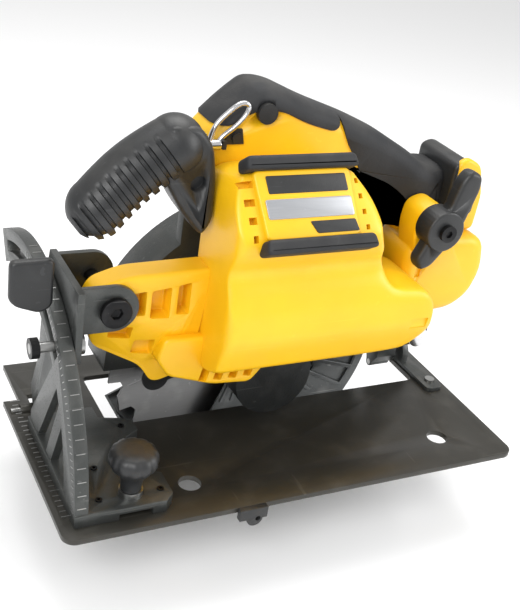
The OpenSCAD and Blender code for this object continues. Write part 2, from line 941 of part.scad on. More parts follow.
module terminal_block() {
    color([0.1, 0.1, 0.1])
        translate([bat_x0 + 10, bat_y0 + 12, bat_z0 + 12])
            cube([3, bat_y1 - bat_y0 - 24, 12]);
    color([0.8, 0.6, 0.3])
        for (i = [0 : 2])
            translate([bat_x0 + 13, bat_y0 + 14 + 6 * i, bat_z0 + 14])
                cube([6, 0.8, 8]);
}

// ---------- depth clamp ----------

module depth_arm() {
    color([0.22, 0.22, 0.22])
        difference() {
            union() {
                along_y(-33, -29)
                    difference() {
                        link([34, 52], [depth_bolt_x, depth_bolt_z], 17);
                        translate([0, arbor_z])
                            circle(case_arbor_r + 0.01);
                    }
                // boxed end around the bolt
                along_y(-33, -14)
                    translate([depth_bolt_x + 5, depth_bolt_z - 8.5])
                        square([5, 17]);
                along_y(-18, -14)
                    link([depth_bolt_x - 4, depth_bolt_z], [depth_bolt_x, depth_bolt_z], 17);
            }
            rod_y(depth_bolt_x, depth_bolt_z, depth_bolt_d, -40, -10);
        }
}

module depth_clamp_bolt() {
    color([0.8, 0.8, 0.82]) {
        rod_y(depth_bolt_x, depth_bolt_z, depth_bolt_d, -34, depth_strip_y1 + 3);
        rod_y(depth_bolt_x, depth_bolt_z, 15, -38, -33);
        rod_y(depth_bolt_x, depth_bolt_z, 11, depth_strip_y1 + slide_gap, depth_strip_y1 + 4);
    }
}

module depth_lever() {
    color([0.1, 0.1, 0.1])
        difference() {
            union() {
                along_y(rear_y0 - 14, rear_y0 - slide_gap - 3)
                    union() {
                        link([lever_x, lever_z], [107, 181], 15);
                        link([lever_x, lever_z], [80, 129], 12);
                    }
                rod_y(lever_x, lever_z, 28, rear_y0 - 16, rear_y0 - slide_gap);
            }
            rod_y(lever_x, lever_z, 12 + 2 * run_clear, rear_y0 - 14.3, rear_y0 + 1);
            rod_y(lever_x, lever_z, 4.6, rear_y0 - 20, rear_y0);
        }
}

module depth_lever_screw() {
    color([0.2, 0.2, 0.2])
        difference() {
            union() {
                rod_y(lever_x, lever_z, 4, rear_y0 - 17, rear_y0 - 4);
                rod_y(lever_x, lever_z, 11, rear_y0 - 19, rear_y0 - 16.3);
            }
            translate([lever_x, rear_y0 - 17.6, lever_z])
                rotate([90, 0, 0])
                    cylinder(h = 3, d = 5, $fn = 6);
        }
}

// ---------- controls and electrics ----------

module switch_module() {
    color([0.15, 0.15, 0.15])
        translate([-14, handle_y0 + shell_wall, 191])
            cube([26, handle_w - 2 * shell_wall, 12]);
}

module controller_board() {
    color([0.1, 0.35, 0.15])
        translate([-36, house_y1 - shell_wall - 2, 142])
            cube([50, 2, 40]);
    color([0.1, 0.1, 0.1])
        for (i = [0 : 2])
            translate([-30 + 16 * i, house_y1 - shell_wall - 6, 150])
                cube([10, 4, 14]);
}

module trigger() {
    color([0.12, 0.12, 0.12])
        union() {
            along_y(handle_y - 9, handle_y + 9)
                polygon([[-21, 184], [-16, 189], [-10, 186], [19, 184], [17, 171], [8, 163], [-8, 161], [-18, 165]]);
            rod_y(trigger_x, trigger_z, trigger_pin_d, handle_y0 + 1.6, handle_y1 - 1.6);
        }
}

module lock_off_button() {
    color([0.12, 0.12, 0.12])
        rod_y(button_x, button_z, button_d, handle_y0 - button_travel - 0.5, handle_y1 - 0.5);
}

hook_z = 196;
hook_y = handle_y0 - 3.5;
hook_pin_d = 3;
hook_x0 = -64.5;
hook_x1 = -51.2;
hook_ear_t = 2.3;

module hook_pocket() {
    color([0.12, 0.12, 0.12]) {
        along_y(handle_y0 - 1.4, handle_y0)
            polygon([[-50.5, 195], [-48, 204], [-40, 204], [-38, 195]]);
        for (x = [hook_x0, hook_x1 - hook_ear_t])
            translate([x, handle_y0 - 6.6, hook_z - 2])
                cube([hook_ear_t, 6.6, 5]);
        rod_x(hook_y, hook_z, hook_pin_d, hook_x0, hook_x1);
        rod_y(-43, 199, 6, handle_y0 - 2.6, handle_y0 - 1);
    }
}

module rafter_hook() {
    barrel_x0 = hook_x0 + hook_ear_t + 0.3;
    barrel_x1 = hook_x1 - hook_ear_t - 0.3;
    middle = (barrel_x0 + barrel_x1) / 2;
    color([0.8, 0.8, 0.82])
        difference() {
            union() {
                rod_x(hook_y, hook_z, 6, barrel_x0, barrel_x1);
                along_y(hook_y - 1.2, hook_y + 1.2)
                    difference() {
                        polygon([[barrel_x0, hook_z], [barrel_x1, hook_z], [barrel_x1, hook_z + 4], [-39, 212],
                            [-37, 217], [-40, 221.5], [-45, 220.5], [barrel_x0, hook_z + 8]]);
                        polygon([[middle, hook_z + 8], [-42, 214], [-41, 217], [-43, 218]]);
                    }
            }
            rod_x(hook_y, hook_z, hook_pin_d + 2 * run_clear, barrel_x0 - 1, barrel_x1 + 1);
        }
}

lock_travel = 2.5;
lock_y = (arbor_gear_y0 + arbor_gear_y1) / 2;
lock_tip_x = -arbor_module * (arbor_teeth / 2 + 1) - lock_travel - 0.5;
module spindle_lock() {
    color([0.12, 0.12, 0.12]) {
        rod_x(lock_y, arbor_z, 6, -case_arbor_r - 9, lock_tip_x);
        rod_x(lock_y, arbor_z, 12, -case_arbor_r - 9, -case_arbor_r - lock_travel - 1);
    }
}

module dust_port() {
    color([0.15, 0.15, 0.15])
        difference() {
            rod_x(0, dust_z, dust_d + 4, 60, 98);
            rod_x(0, dust_z, dust_d, 50, 99);
            translate([0, 0, arbor_z])
                along_y(-30, 30)
                    circle(upper_r1);
        }
}

// ---------- motor and gears ----------

module motor_stator() {
    slots = 12;
    color([0.45, 0.3, 0.2])
        translate([0, 0, motor_z])
            along_y(stator_y0, stator_y0 + stator_l)
                difference() {
                    circle(d = stator_d);
                    circle(d = rotor_d + 1.4);
                    for (i = [0 : slots - 1])
                        rotate(i * 360 / slots)
                            translate([rotor_d / 2 + 3, -1.6])
                                square([stator_d / 2 - rotor_d / 2 - 7, 3.2]);
                }
}

module ring_y(x, z, outer, inner, y0, y1) {
    difference() {
        rod_y(x, z, outer, y0, y1);
        rod_y(x, z, inner, y0 - 1, y1 + 1);
    }
}

module rotor_bearings() {
    color([0.7, 0.7, 0.72]) {
        ring_y(0, motor_z, 19, motor_shaft_d + 2 * run_clear, rear_bearing_y0, rear_bearing_y0 + bearing_w);
        ring_y(0, motor_z, 19, motor_shaft_d + 2 * run_clear, case_y0, case_y0 + case_wall);
    }
}

module gear_bearings() {
    color([0.7, 0.7, 0.72]) {
        ring_y(0, arbor_z, 22, arbor_d + 2 * run_clear, case_y0 + 1, case_y0 + case_wall);
        ring_y(0, arbor_z, 22, arbor_d + 2 * run_clear, case_y1 - 2, boss_y1 - 1.5);
        ring_y(0, idler_z, 16, idler_shaft_d + 2 * run_clear, case_y0 + 1, case_y0 + case_wall);
        ring_y(0, idler_z, idler_shaft_d + 3, idler_shaft_d + 2 * run_clear, case_y1 - 2, case_y1);
    }
}

module rotor_core() {
    color([0.4, 0.4, 0.42])
        ring_y(0, motor_z, rotor_d, motor_shaft_d, stator_y0, stator_y0 + stator_l);
}

module motor_shaft() {
    color([0.7, 0.7, 0.72]) {
        rod_y(0, motor_z, motor_shaft_d, rear_bearing_y0 + 0.5, idler_gear_y0 + 0.01);
        translate([0, 0, motor_z])
            along_y(idler_gear_y0, idler_gear_y1)
                gear_outline(motor_module, motor_pinion_teeth, 90 - 180 / motor_pinion_teeth);
    }
}

module cooling_fan() {
    blades = 11;
    fan_r = 26;
    color([0.12, 0.12, 0.12])
        translate([0, 0, motor_z])
            union() {
                along_y(fan_y0, fan_y0 + 1.5)
                    difference() {
                        circle(fan_r);
                        circle(d = motor_shaft_d);
                    }
                along_y(fan_y0 + 1, fan_y0 + 5.5)
                    for (i = [0 : blades - 1])
                        rotate(i * 360 / blades)
                            translate([10, -0.8])
                                square([fan_r - 10.5, 1.6]);
            }
}

module idler_gear() {
    color([0.65, 0.65, 0.67]) {
        rod_y(0, idler_z, idler_shaft_d, case_y0 + 1.5, case_y1 - 0.5);
        translate([0, 0, idler_z]) {
            along_y(idler_gear_y0, idler_gear_y1)
                gear_outline(motor_module, idler_teeth, 0);
            along_y(arbor_gear_y0, arbor_gear_y1)
                gear_outline(arbor_module, arbor_pinion_teeth, 90 - 180 / arbor_pinion_teeth);
        }
    }
}

module arbor_shaft() {
    color([0.7, 0.7, 0.72])
        rod_y(0, arbor_z, arbor_d, case_y0 + 1.5, flange_y1);
}

flange_y0 = -6.5;
flange_y1 = -blade_t / 2;
module drive_gear() {
    color([0.65, 0.65, 0.67])
        difference() {
            translate([0, 0, arbor_z])
                along_y(arbor_gear_y0 + 0.5, arbor_gear_y1 - 0.5)
                    gear_outline(arbor_module, arbor_teeth, 0);
            rod_y(0, arbor_z, arbor_d, arbor_gear_y0 - 1, arbor_gear_y1 + 1);
        }
}

module inner_flange() {
    color([0.55, 0.55, 0.57])
        difference() {
            union() {
                rod_y(0, arbor_z, 40, flange_y0, flange_y1);
                rod_y(0, arbor_z, blade_bore, flange_y1 - 1, blade_t / 2 - 0.2);
            }
            rod_y(0, arbor_z, arbor_d, flange_y0 - 1, flange_y1);
            rod_y(0, arbor_z, 8, flange_y1 - 1, blade_t);
        }
}

module blade() {
    gullet = 8;
    color([0.62, 0.62, 0.64])
        difference() {
            translate([0, 0, arbor_z])
                along_y(-blade_t / 2, blade_t / 2)
                    difference() {
                        polygon([for (i = [0 : tooth_count - 1]) let (a = i * 360 / tooth_count)
                            each [
                                [blade_r * cos(a), blade_r * sin(a)],
                                [(blade_r - gullet) * cos(a + 1.5), (blade_r - gullet) * sin(a + 1.5)],
                                [(blade_r - gullet - 1) * cos(a + 4.5), (blade_r - gullet - 1) * sin(a + 4.5)],
                                [(blade_r - 3.2) * cos(a + 8.4), (blade_r - 3.2) * sin(a + 8.4)]
                            ]]);
                        circle(d = blade_bore);
                        // expansion slots
                        for (a = [20, 110, 200, 290])
                            rotate(a)
                                translate([blade_r - 30, -0.6])
                                    square([18, 1.2]);
                    }
        }
}

module outer_flange() {
    color([0.55, 0.55, 0.57])
        ring_y(0, arbor_z, 38, 8, blade_t / 2, blade_t / 2 + 3);
}

module blade_bolt() {
    color([0.5, 0.5, 0.52])
        difference() {
            union() {
                rod_y(0, arbor_z, 8, flange_y1, blade_t / 2 + 3.5);
                rod_y(0, arbor_z, 15, blade_t / 2 + 3, blade_t / 2 + 8);
            }
            translate([0, blade_t / 2 + 9, arbor_z])
                rotate([90, 0, 0])
                    cylinder(h = 5, d = 7, $fn = 6);
        }
}

// ---------- lower guard ----------

guard_a0 = -155;
guard_a1 = 20;
near_a0 = -112;
module lower_guard() {
    color([0.5, 0.51, 0.5])
        translate([0, 0, arbor_z])
            union() {
                along_y(lower_y0, lower_y1)
                    ring_sector(lower_r1 - lower_wall, lower_r1, guard_a0, guard_a1);
                along_y(lower_y0, lower_y0 + lower_wall)
                    difference() {
                        union() {
                            ring_sector(17, lower_r1 - 0.5, near_a0, guard_a1);
                            circle(hub_r);
                        }
                        circle(18);
                    }
                along_y(lower_y1 - lower_wall, lower_y1)
                    ring_sector(40, lower_r1 - 0.5, guard_a0, guard_a1);
                // ribs inside the near wall
                along_y(lower_y0 + lower_wall - 0.01, lower_y0 + lower_wall + 2)
                    for (a = [near_a0 + 4, -85, -60, -35, -10, guard_a1 - 4])
                        rotate(a)
                            translate([26, -0.9])
                                square([68, 1.8]);
            }
}

module guard_hub_ring() {
    color([0.6, 0.5, 0.25])
        ring_y(0, arbor_z, 36, boss_d + 2 * run_clear, lower_y0 - 2, lower_y0 + 4);
}

module guard_lever() {
    color([0.12, 0.12, 0.12])
        translate([0, 0, arbor_z])
            along_y(lower_y0, lower_y0 + 3)
                difference() {
                    union() {
                        link([-22, -4], [-62, -16], 10);
                        translate([-64, -17])
                            circle(9);
                    }
                    circle(hub_r + 0.01);
                }
}

module guard_spring() {
    color([0.4, 0.4, 0.4])
        translate([0, upper_y0 + guard_wall + 1.2, arbor_z])
            rotate([90, 0, 0])
                rotate_extrude()
                    translate([21, 0])
                        circle(d = 1.5);
}

shoe_plate();
edge_hook();
bevel_quadrant();
quadrant_screws();
fence_stud();
fence_knob();
rear_bevel_foot();
rear_foot_rivets();
bevel_pins();
tilt_bracket();
depth_pivot_screw();
rear_depth_bracket();
bevel_clamp_bolt();
bevel_lever();
bevel_lever_nut();
upper_guard();
gear_case();
gear_case_screws();
motor_housing();
motor_end_cap();
end_cap_bumpers();
badge_plates();
housing_screws();
rear_housing();
handle_near();
handle_far();
grip_cover();
front_handle();
battery_receptacle();
terminal_block();
depth_arm();
depth_clamp_bolt();
switch_module();
controller_board();
motor_stator();
rotor_bearings();
gear_bearings();
hook_pocket();
rafter_hook();
trigger();
lock_off_button();
spindle_lock();
depth_lever();
depth_lever_screw();
dust_port();
rotor_core();
motor_shaft();
cooling_fan();
idler_gear();
arbor_shaft();
drive_gear();
inner_flange();
blade();
outer_flange();
blade_bolt();
lower_guard();
guard_hub_ring();
guard_lever();
guard_spring();
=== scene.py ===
# %% [markdown]
# # A battery circular saw
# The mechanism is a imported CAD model: plates, gears, levers and shells, each on the body that it moves
# with. This notebook dresses it. Sheet and turned parts keep their CAD shape and get a finish. Moulded
# shells and soft grips are made again here, because a mould leaves round edges, ribs and grain that plain
# solids don't have.

# %% Frame
import json
import math

import bpy
import bmesh
from mathutils import Matrix, Vector


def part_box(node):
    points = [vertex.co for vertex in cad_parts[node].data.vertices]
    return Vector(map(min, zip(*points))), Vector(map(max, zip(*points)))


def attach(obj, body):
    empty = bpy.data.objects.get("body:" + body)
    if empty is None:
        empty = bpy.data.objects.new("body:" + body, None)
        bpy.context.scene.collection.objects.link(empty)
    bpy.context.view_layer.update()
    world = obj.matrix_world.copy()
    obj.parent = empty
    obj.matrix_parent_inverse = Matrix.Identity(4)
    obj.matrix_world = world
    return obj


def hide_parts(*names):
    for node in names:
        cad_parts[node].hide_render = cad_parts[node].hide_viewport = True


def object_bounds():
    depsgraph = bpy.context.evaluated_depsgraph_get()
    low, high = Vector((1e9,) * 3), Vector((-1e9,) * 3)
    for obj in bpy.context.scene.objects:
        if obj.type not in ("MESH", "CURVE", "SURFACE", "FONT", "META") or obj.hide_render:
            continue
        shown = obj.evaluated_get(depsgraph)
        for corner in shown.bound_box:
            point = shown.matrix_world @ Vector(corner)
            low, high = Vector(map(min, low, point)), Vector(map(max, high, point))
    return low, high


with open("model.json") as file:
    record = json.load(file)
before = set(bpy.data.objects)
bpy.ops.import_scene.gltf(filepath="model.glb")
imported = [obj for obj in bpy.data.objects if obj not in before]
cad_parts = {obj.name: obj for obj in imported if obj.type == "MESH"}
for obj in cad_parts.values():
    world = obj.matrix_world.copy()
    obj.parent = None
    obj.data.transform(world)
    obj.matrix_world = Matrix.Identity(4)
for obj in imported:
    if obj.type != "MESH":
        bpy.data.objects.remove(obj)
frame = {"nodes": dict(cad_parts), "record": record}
cad_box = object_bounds()
MM = 0.001
print("CAD box", [[round(v, 4) for v in corner] for corner in cad_box])

# %% [markdown]
# ## Camera
# A long lens from the motor side, above and in front, shows the shoe's top, the label face and the front
# handle. The camera is placed by its three axes, so a slight roll needs no extra object.

# %% Camera
camera_data = bpy.data.cameras.new("camera")
camera_data.lens = 60.6
camera_data.sensor_width = 36
camera_data.clip_start = 0.01
camera = bpy.data.objects.new("camera", camera_data)
right = Vector((0.891, -0.431, 0.1404))
down = Vector((-0.0954, -0.481, -0.8715))
forward = Vector((0.4435, 0.763, -0.4698))
axes = Matrix((right, -down, -forward)).transposed().to_4x4()
camera.matrix_world = Matrix.Translation(Vector((-0.2963, -0.5319, 0.3901))) @ axes
bpy.context.scene.collection.objects.link(camera)
bpy.context.scene.camera = camera

# %% [markdown]
# ## Surface effects
# Every plastic here has the same fine spark-erosion grain, every casting the same sandy skin, and every
# surface a little dust and rubbing. Each effect is one node group with its own inputs, placed in many
# materials.

# %% Helpers for node trees
def add_node(tree, kind, **settings):
    made = tree.nodes.new(kind)
    for key, value in settings.items():
        setattr(made, key, value)
    return made


def group(name, inputs, outputs):
    tree = bpy.data.node_groups.new(name, "ShaderNodeTree")
    for label, kind, value in inputs:
        socket = tree.interface.new_socket(name=label, in_out="INPUT", socket_type=kind)
        socket.default_value = value
    for label, kind in outputs:
        tree.interface.new_socket(name=label, in_out="OUTPUT", socket_type=kind)
    return tree, add_node(tree, "NodeGroupInput"), add_node(tree, "NodeGroupOutput")


def noise_at(tree, vector, scale, detail, stretch=(1, 1, 1)):
    mapping = add_node(tree, "ShaderNodeMapping")
    mapping.inputs["Scale"].default_value = stretch
    noise = add_node(tree, "ShaderNodeTexNoise")
    noise.inputs["Detail"].default_value = detail
    tree.links.new(vector, mapping.inputs["Vector"])
    tree.links.new(mapping.outputs[0], noise.inputs["Vector"])
    if isinstance(scale, (int, float)):
        noise.inputs["Scale"].default_value = scale
    else:
        tree.links.new(scale, noise.inputs["Scale"])
    return noise.outputs["Fac"]


def between(tree, value, low, high):
    step = add_node(tree, "ShaderNodeMapRange", clamp=True)
    step.inputs["From Min"].default_value = low
    step.inputs["From Max"].default_value = high
    tree.links.new(value, step.inputs["Value"])
    return step.outputs[0]


def combine(tree, operation, first, second):
    made = add_node(tree, "ShaderNodeMath", operation=operation)
    for socket, value in zip(made.inputs, (first, second)):
        if isinstance(value, (int, float)):
            socket.default_value = value
        else:
            tree.links.new(value, socket)
    return made.outputs[0]


# %% Grain group
FLOAT = "NodeSocketFloat"


def make_grain():
    tree, given, out = group("mould_grain", [("Scale", FLOAT, 900.0)], [("Height", FLOAT), ("Mottle", FLOAT)])
    place = add_node(tree, "ShaderNodeTexCoord").outputs["Object"]
    fine = noise_at(tree, place, given.outputs["Scale"], 3)
    cells = add_node(tree, "ShaderNodeTexVoronoi", feature="SMOOTH_F1")
    tree.links.new(place, cells.inputs["Vector"])
    tree.links.new(given.outputs["Scale"], cells.inputs["Scale"])
    tree.links.new(combine(tree, "ADD", fine, cells.outputs["Distance"]), out.inputs["Height"])
    tree.links.new(noise_at(tree, place, 28.0, 4), out.inputs["Mottle"])
    return tree


# %% Rubbing and dust group
def make_rub():
    results = [(label, FLOAT) for label in ("Rub", "Scratch", "Dust")]
    tree, given, out = group("rub_and_dust", [("Scale", FLOAT, 60.0)], results)
    place = add_node(tree, "ShaderNodeTexCoord").outputs["Object"]
    patches = noise_at(tree, place, given.outputs["Scale"], 6)
    tree.links.new(between(tree, patches, 0.52, 0.72), out.inputs["Rub"])
    lines_a = noise_at(tree, place, 40.0, 2, (0.25, 9, 9))
    lines_b = noise_at(tree, place, 34.0, 2, (5, 0.4, 7))
    along = between(tree, lines_a, 0.705, 0.72)
    across = between(tree, lines_b, 0.71, 0.725)
    scratch = combine(tree, "MAXIMUM", along, across)
    tree.links.new(scratch, out.inputs["Scratch"])
    facing = add_node(tree, "ShaderNodeSeparateXYZ")
    tree.links.new(add_node(tree, "ShaderNodeNewGeometry").outputs["Normal"], facing.inputs[0])
    up = between(tree, facing.outputs["Z"], 0.35, 1.0)
    tree.links.new(combine(tree, "MULTIPLY", up, between(tree, patches, 0.35, 0.7)), out.inputs["Dust"])
    return tree


# %% Casting skin group
def make_cast():
    tree, given, out = group("cast_skin", [("Scale", FLOAT, 420.0)], [("Height", FLOAT), ("Pits", FLOAT)])
    place = add_node(tree, "ShaderNodeTexCoord").outputs["Object"]
    sand = noise_at(tree, place, given.outputs["Scale"], 8)
    slow = noise_at(tree, place, 45.0, 3)
    pits = add_node(tree, "ShaderNodeTexVoronoi")
    tree.links.new(place, pits.inputs["Vector"])
    tree.links.new(given.outputs["Scale"], pits.inputs["Scale"])
    hollow = between(tree, pits.outputs["Distance"], 0.0, 0.35)
    tree.links.new(combine(tree, "ADD", combine(tree, "ADD", sand, hollow), slow), out.inputs["Height"])
    tree.links.new(combine(tree, "SUBTRACT", 1.0, hollow), out.inputs["Pits"])
    return tree


# %% Turned and ground metal group
def make_lay():
    tree, given, out = group("tool_marks", [("Scale", FLOAT, 900.0)], [("Rings", FLOAT), ("Streaks", FLOAT)])
    place = add_node(tree, "ShaderNodeTexCoord").outputs["Object"]
    split = add_node(tree, "ShaderNodeSeparateXYZ")
    tree.links.new(place, split.inputs[0])
    centred = combine(tree, "SUBTRACT", split.outputs["Z"], 0.04)
    squares = [combine(tree, "MULTIPLY", side, side) for side in (split.outputs["X"], centred)]
    radius = combine(tree, "SQRT", combine(tree, "ADD", *squares), 0.0)
    joined = add_node(tree, "ShaderNodeCombineXYZ")
    tree.links.new(radius, joined.inputs["X"])
    rings = noise_at(tree, joined.outputs[0], given.outputs["Scale"], 4)
    tree.links.new(rings, out.inputs["Rings"])
    tree.links.new(noise_at(tree, place, given.outputs["Scale"], 3, (0.03, 1, 1)), out.inputs["Streaks"])
    return tree


GRAIN = make_grain()
RUB = make_rub()
CAST = make_cast()
LAY = make_lay()
print("effect groups:", [g.name for g in (GRAIN, RUB, CAST, LAY)])

# %% [markdown]
# ## Finishes
# A finish starts from one recipe: a base colour, a lighter or darker colour where it is rubbed, a
# roughness range and a bump. What differs is the effect that drives them, so each material below says
# only its own colours and depths.

# %% One recipe for a finish
DUST_COLOUR = (0.42, 0.38, 0.31)


def place_group(tree, node_group, scale):
    made = add_node(tree, "ShaderNodeGroup", node_tree=node_group)
    made.inputs["Scale"].default_value = scale
    return made


def mix_colour(tree, factor, first, second):
    made = add_node(tree, "ShaderNodeMix", data_type="RGBA")
    tree.links.new(factor, made.inputs["Factor"])
    for socket, value in ((made.inputs[6], first), (made.inputs[7], second)):
        if isinstance(value, tuple):
            socket.default_value = (*value, 1)
        else:
            tree.links.new(value, socket)
    return made.outputs[2]


def finish(name, base, rubbed, rough, skin, scale, depth, metallic=0.0, coat=0.0, marks=0.5, dust=0.1):
    material = bpy.data.materials.new(name)
    material.use_nodes = True
    tree = material.node_tree
    shader = tree.nodes["Principled BSDF"]
    shader.inputs["Metallic"].default_value = metallic
    shader.inputs["Coat Weight"].default_value = coat
    shader.inputs["Coat Roughness"].default_value = 0.25
    texture = place_group(tree, skin, scale)
    height, tint = texture.outputs[0], texture.outputs[1]
    wear = place_group(tree, RUB, 60.0)
    deeper = tuple(c * 0.82 for c in base)
    colour = mix_colour(tree, tint, base, deeper)
    worn = combine(tree, "MULTIPLY", wear.outputs["Rub"], marks * 0.6)
    colour = mix_colour(tree, worn, colour, rubbed)
    scratched = combine(tree, "MULTIPLY", wear.outputs["Scratch"], marks)
    colour = mix_colour(tree, scratched, colour, rubbed)
    dusty = combine(tree, "MULTIPLY", wear.outputs["Dust"], dust)
    colour = mix_colour(tree, dusty, colour, DUST_COLOUR)
    tree.links.new(colour, shader.inputs["Base Color"])
    spread = add_node(tree, "ShaderNodeMapRange")
    spread.inputs["To Min"].default_value = rough[0]
    spread.inputs["To Max"].default_value = rough[1]
    tree.links.new(combine(tree, "MAXIMUM", tint, dusty), spread.inputs["Value"])
    tree.links.new(spread.outputs[0], shader.inputs["Roughness"])
    cut = combine(tree, "SUBTRACT", height, combine(tree, "MULTIPLY", scratched, 0.6))
    bump = add_node(tree, "ShaderNodeBump")
    bump.inputs["Strength"].default_value = 0.5
    bump.inputs["Distance"].default_value = depth
    tree.links.new(cut, bump.inputs["Height"])
    tree.links.new(bump.outputs[0], shader.inputs["Normal"])
    return material


# %% The saw's own finishes
RECIPES = {
    "yellow_plastic": dict(base=(0.93, 0.52, 0.004), rubbed=(0.99, 0.68, 0.06), rough=(0.34, 0.5),
        skin=GRAIN, scale=1500.0, depth=0.00006, coat=0.08, marks=0.12, dust=0.02),
    "black_plastic": dict(base=(0.014, 0.015, 0.016), rubbed=(0.05, 0.052, 0.055), rough=(0.34, 0.52),
        skin=GRAIN, scale=1300.0, depth=0.00008, marks=0.3, dust=0.05),
    "black_rubber": dict(base=(0.012, 0.013, 0.015), rubbed=(0.035, 0.036, 0.04), rough=(0.55, 0.78),
        skin=GRAIN, scale=700.0, depth=0.00016, marks=0.25, dust=0.06),
    "grey_casting": dict(base=(0.058, 0.062, 0.06), rubbed=(0.17, 0.17, 0.165), rough=(0.36, 0.58),
        skin=CAST, scale=700.0, depth=0.00012, metallic=0.55, marks=0.35, dust=0.05),
    "dark_casting": dict(base=(0.03, 0.032, 0.032), rubbed=(0.12, 0.12, 0.12), rough=(0.4, 0.62),
        skin=CAST, scale=600.0, depth=0.00014, metallic=0.6, marks=0.35, dust=0.06),
    "guard_alloy": dict(base=(0.1, 0.105, 0.105), rubbed=(0.35, 0.35, 0.34), rough=(0.36, 0.56),
        skin=CAST, scale=800.0, depth=0.0001, metallic=0.75, marks=0.45, dust=0.04),
    "shoe_sheet": dict(base=(0.036, 0.034, 0.028), rubbed=(0.13, 0.125, 0.11), rough=(0.3, 0.46),
        skin=GRAIN, scale=800.0, depth=0.00004, metallic=0.4, coat=0.1, marks=0.22, dust=0.015),
    "black_steel": dict(base=(0.012, 0.012, 0.013), rubbed=(0.09, 0.09, 0.09), rough=(0.3, 0.5),
        skin=LAY, scale=1600.0, depth=0.00004, metallic=0.7, marks=0.5, dust=0.02),
    "zinc_steel": dict(base=(0.42, 0.42, 0.41), rubbed=(0.66, 0.66, 0.64), rough=(0.24, 0.42),
        skin=LAY, scale=1500.0, depth=0.00003, metallic=1.0, marks=0.3, dust=0.02),
    "chrome_steel": dict(base=(0.7, 0.7, 0.71), rubbed=(0.85, 0.85, 0.85), rough=(0.1, 0.22),
        skin=LAY, scale=1200.0, depth=0.00001, metallic=1.0, marks=0.2, dust=0.01),
    "blade_steel": dict(base=(0.3, 0.3, 0.3), rubbed=(0.55, 0.55, 0.54), rough=(0.26, 0.42),
        skin=LAY, scale=2400.0, depth=0.00003, metallic=1.0, marks=0.35, dust=0.02),
    "bronze": dict(base=(0.4, 0.27, 0.12), rubbed=(0.6, 0.45, 0.22), rough=(0.3, 0.5),
        skin=LAY, scale=1500.0, depth=0.00003, metallic=1.0),
    "silver_label": dict(base=(0.42, 0.43, 0.45), rubbed=(0.62, 0.62, 0.64), rough=(0.25, 0.4),
        skin=LAY, scale=1400.0, depth=0.00001, metallic=0.6, coat=0.3, marks=0.1, dust=0.01),
    "circuit_board": dict(base=(0.01, 0.09, 0.03), rubbed=(0.1, 0.3, 0.12), rough=(0.25, 0.4),
        skin=GRAIN, scale=500.0, depth=0.00003),
    "copper_winding": dict(base=(0.42, 0.17, 0.06), rubbed=(0.7, 0.35, 0.15), rough=(0.25, 0.45),
        skin=LAY, scale=900.0, depth=0.0001, metallic=0.9),
}
FINISHES = {name: finish(name, **recipe) for name, recipe in RECIPES.items()}
print(len(FINISHES), "finishes")

# %% Dress the CAD nodes
for row in frame["record"]["subparts"]:
    node = frame["nodes"][row["node"]]
    node.data.materials.clear()
    node.data.materials.append(FINISHES[row["material_slot"]])
SLOT_OF = {row["node"]: row["material_slot"] for row in frame["record"]["subparts"]}

# %% [markdown]
# ## Ways of making a moulding
# A moulded shell is a side outline pushed across the saw, with its rim rolled over. The outline gets arcs
# at its corners, then rings of it shrink towards each face, so that the rim is a true round and not only
# a shaded one. Copies of CAD plates get a small bevel in place of their knife edges.

# %% Outlines with round corners
def rounded(points, radii):
    outline = []
    count = len(points)
    for i, corner in enumerate(points):
        here = Vector(corner)
        back = Vector(points[i - 1]) - here
        ahead = Vector(points[(i + 1) % count]) - here
        radius = radii if isinstance(radii, (int, float)) else radii[i]
        reach = min(radius, 0.45 * back.length, 0.45 * ahead.length)
        start = here + back.normalized() * reach
        end = here + ahead.normalized() * reach
        for step in range(7):
            t = step / 6
            outline.append((1 - t) ** 2 * start + 2 * t * (1 - t) * here + t ** 2 * end)
    return outline


def circle(across, up, radius, count):
    angles = [2 * math.pi * i / count for i in range(count)]
    return [(across + radius * math.cos(a), up + radius * math.sin(a)) for a in angles]


def inset(outline, amount):
    count = len(outline)
    area = sum(outline[i - 1].cross(outline[i]) for i in range(count))
    side = 1 if area > 0 else -1
    moved = []
    for i, here in enumerate(outline):
        along = outline[(i + 1) % count] - outline[i - 1]
        normal = Vector((-along.y, along.x)).normalized() * side
        moved.append(here + normal * amount)
    return moved


# %% Mesh objects in millimetres
def finished(name, mesh, material, smooth=True, angle=35):
    mesh.materials.clear()
    mesh.materials.append(material)
    made = bpy.data.objects.new(name, mesh)
    bpy.context.scene.collection.objects.link(made)
    if smooth:
        mesh.shade_smooth()
        mesh.set_sharp_from_angle(angle=math.radians(angle))
    return made


def mesh_from(name, points, faces):
    mesh = bpy.data.meshes.new(name)
    mesh.from_pydata([Vector(p) * MM for p in points], [], faces)
    work = bmesh.new()
    work.from_mesh(mesh)
    bmesh.ops.remove_doubles(work, verts=work.verts, dist=0.00001)
    bmesh.ops.recalc_face_normals(work, faces=work.faces)
    work.to_mesh(mesh)
    work.free()
    return mesh


def skin(name, rings):
    count = len(rings[0])
    points = [point for ring in rings for point in ring]
    faces = []
    for row in range(len(rings) - 1):
        for i in range(count):
            j = (i + 1) % count
            low, high = row * count, (row + 1) * count
            faces.append((low + i, low + j, high + j, high + i))
    faces.append(tuple(range(count)))
    faces.append(tuple(range((len(rings) - 1) * count, len(rings) * count)))
    return mesh_from(name, points, faces)


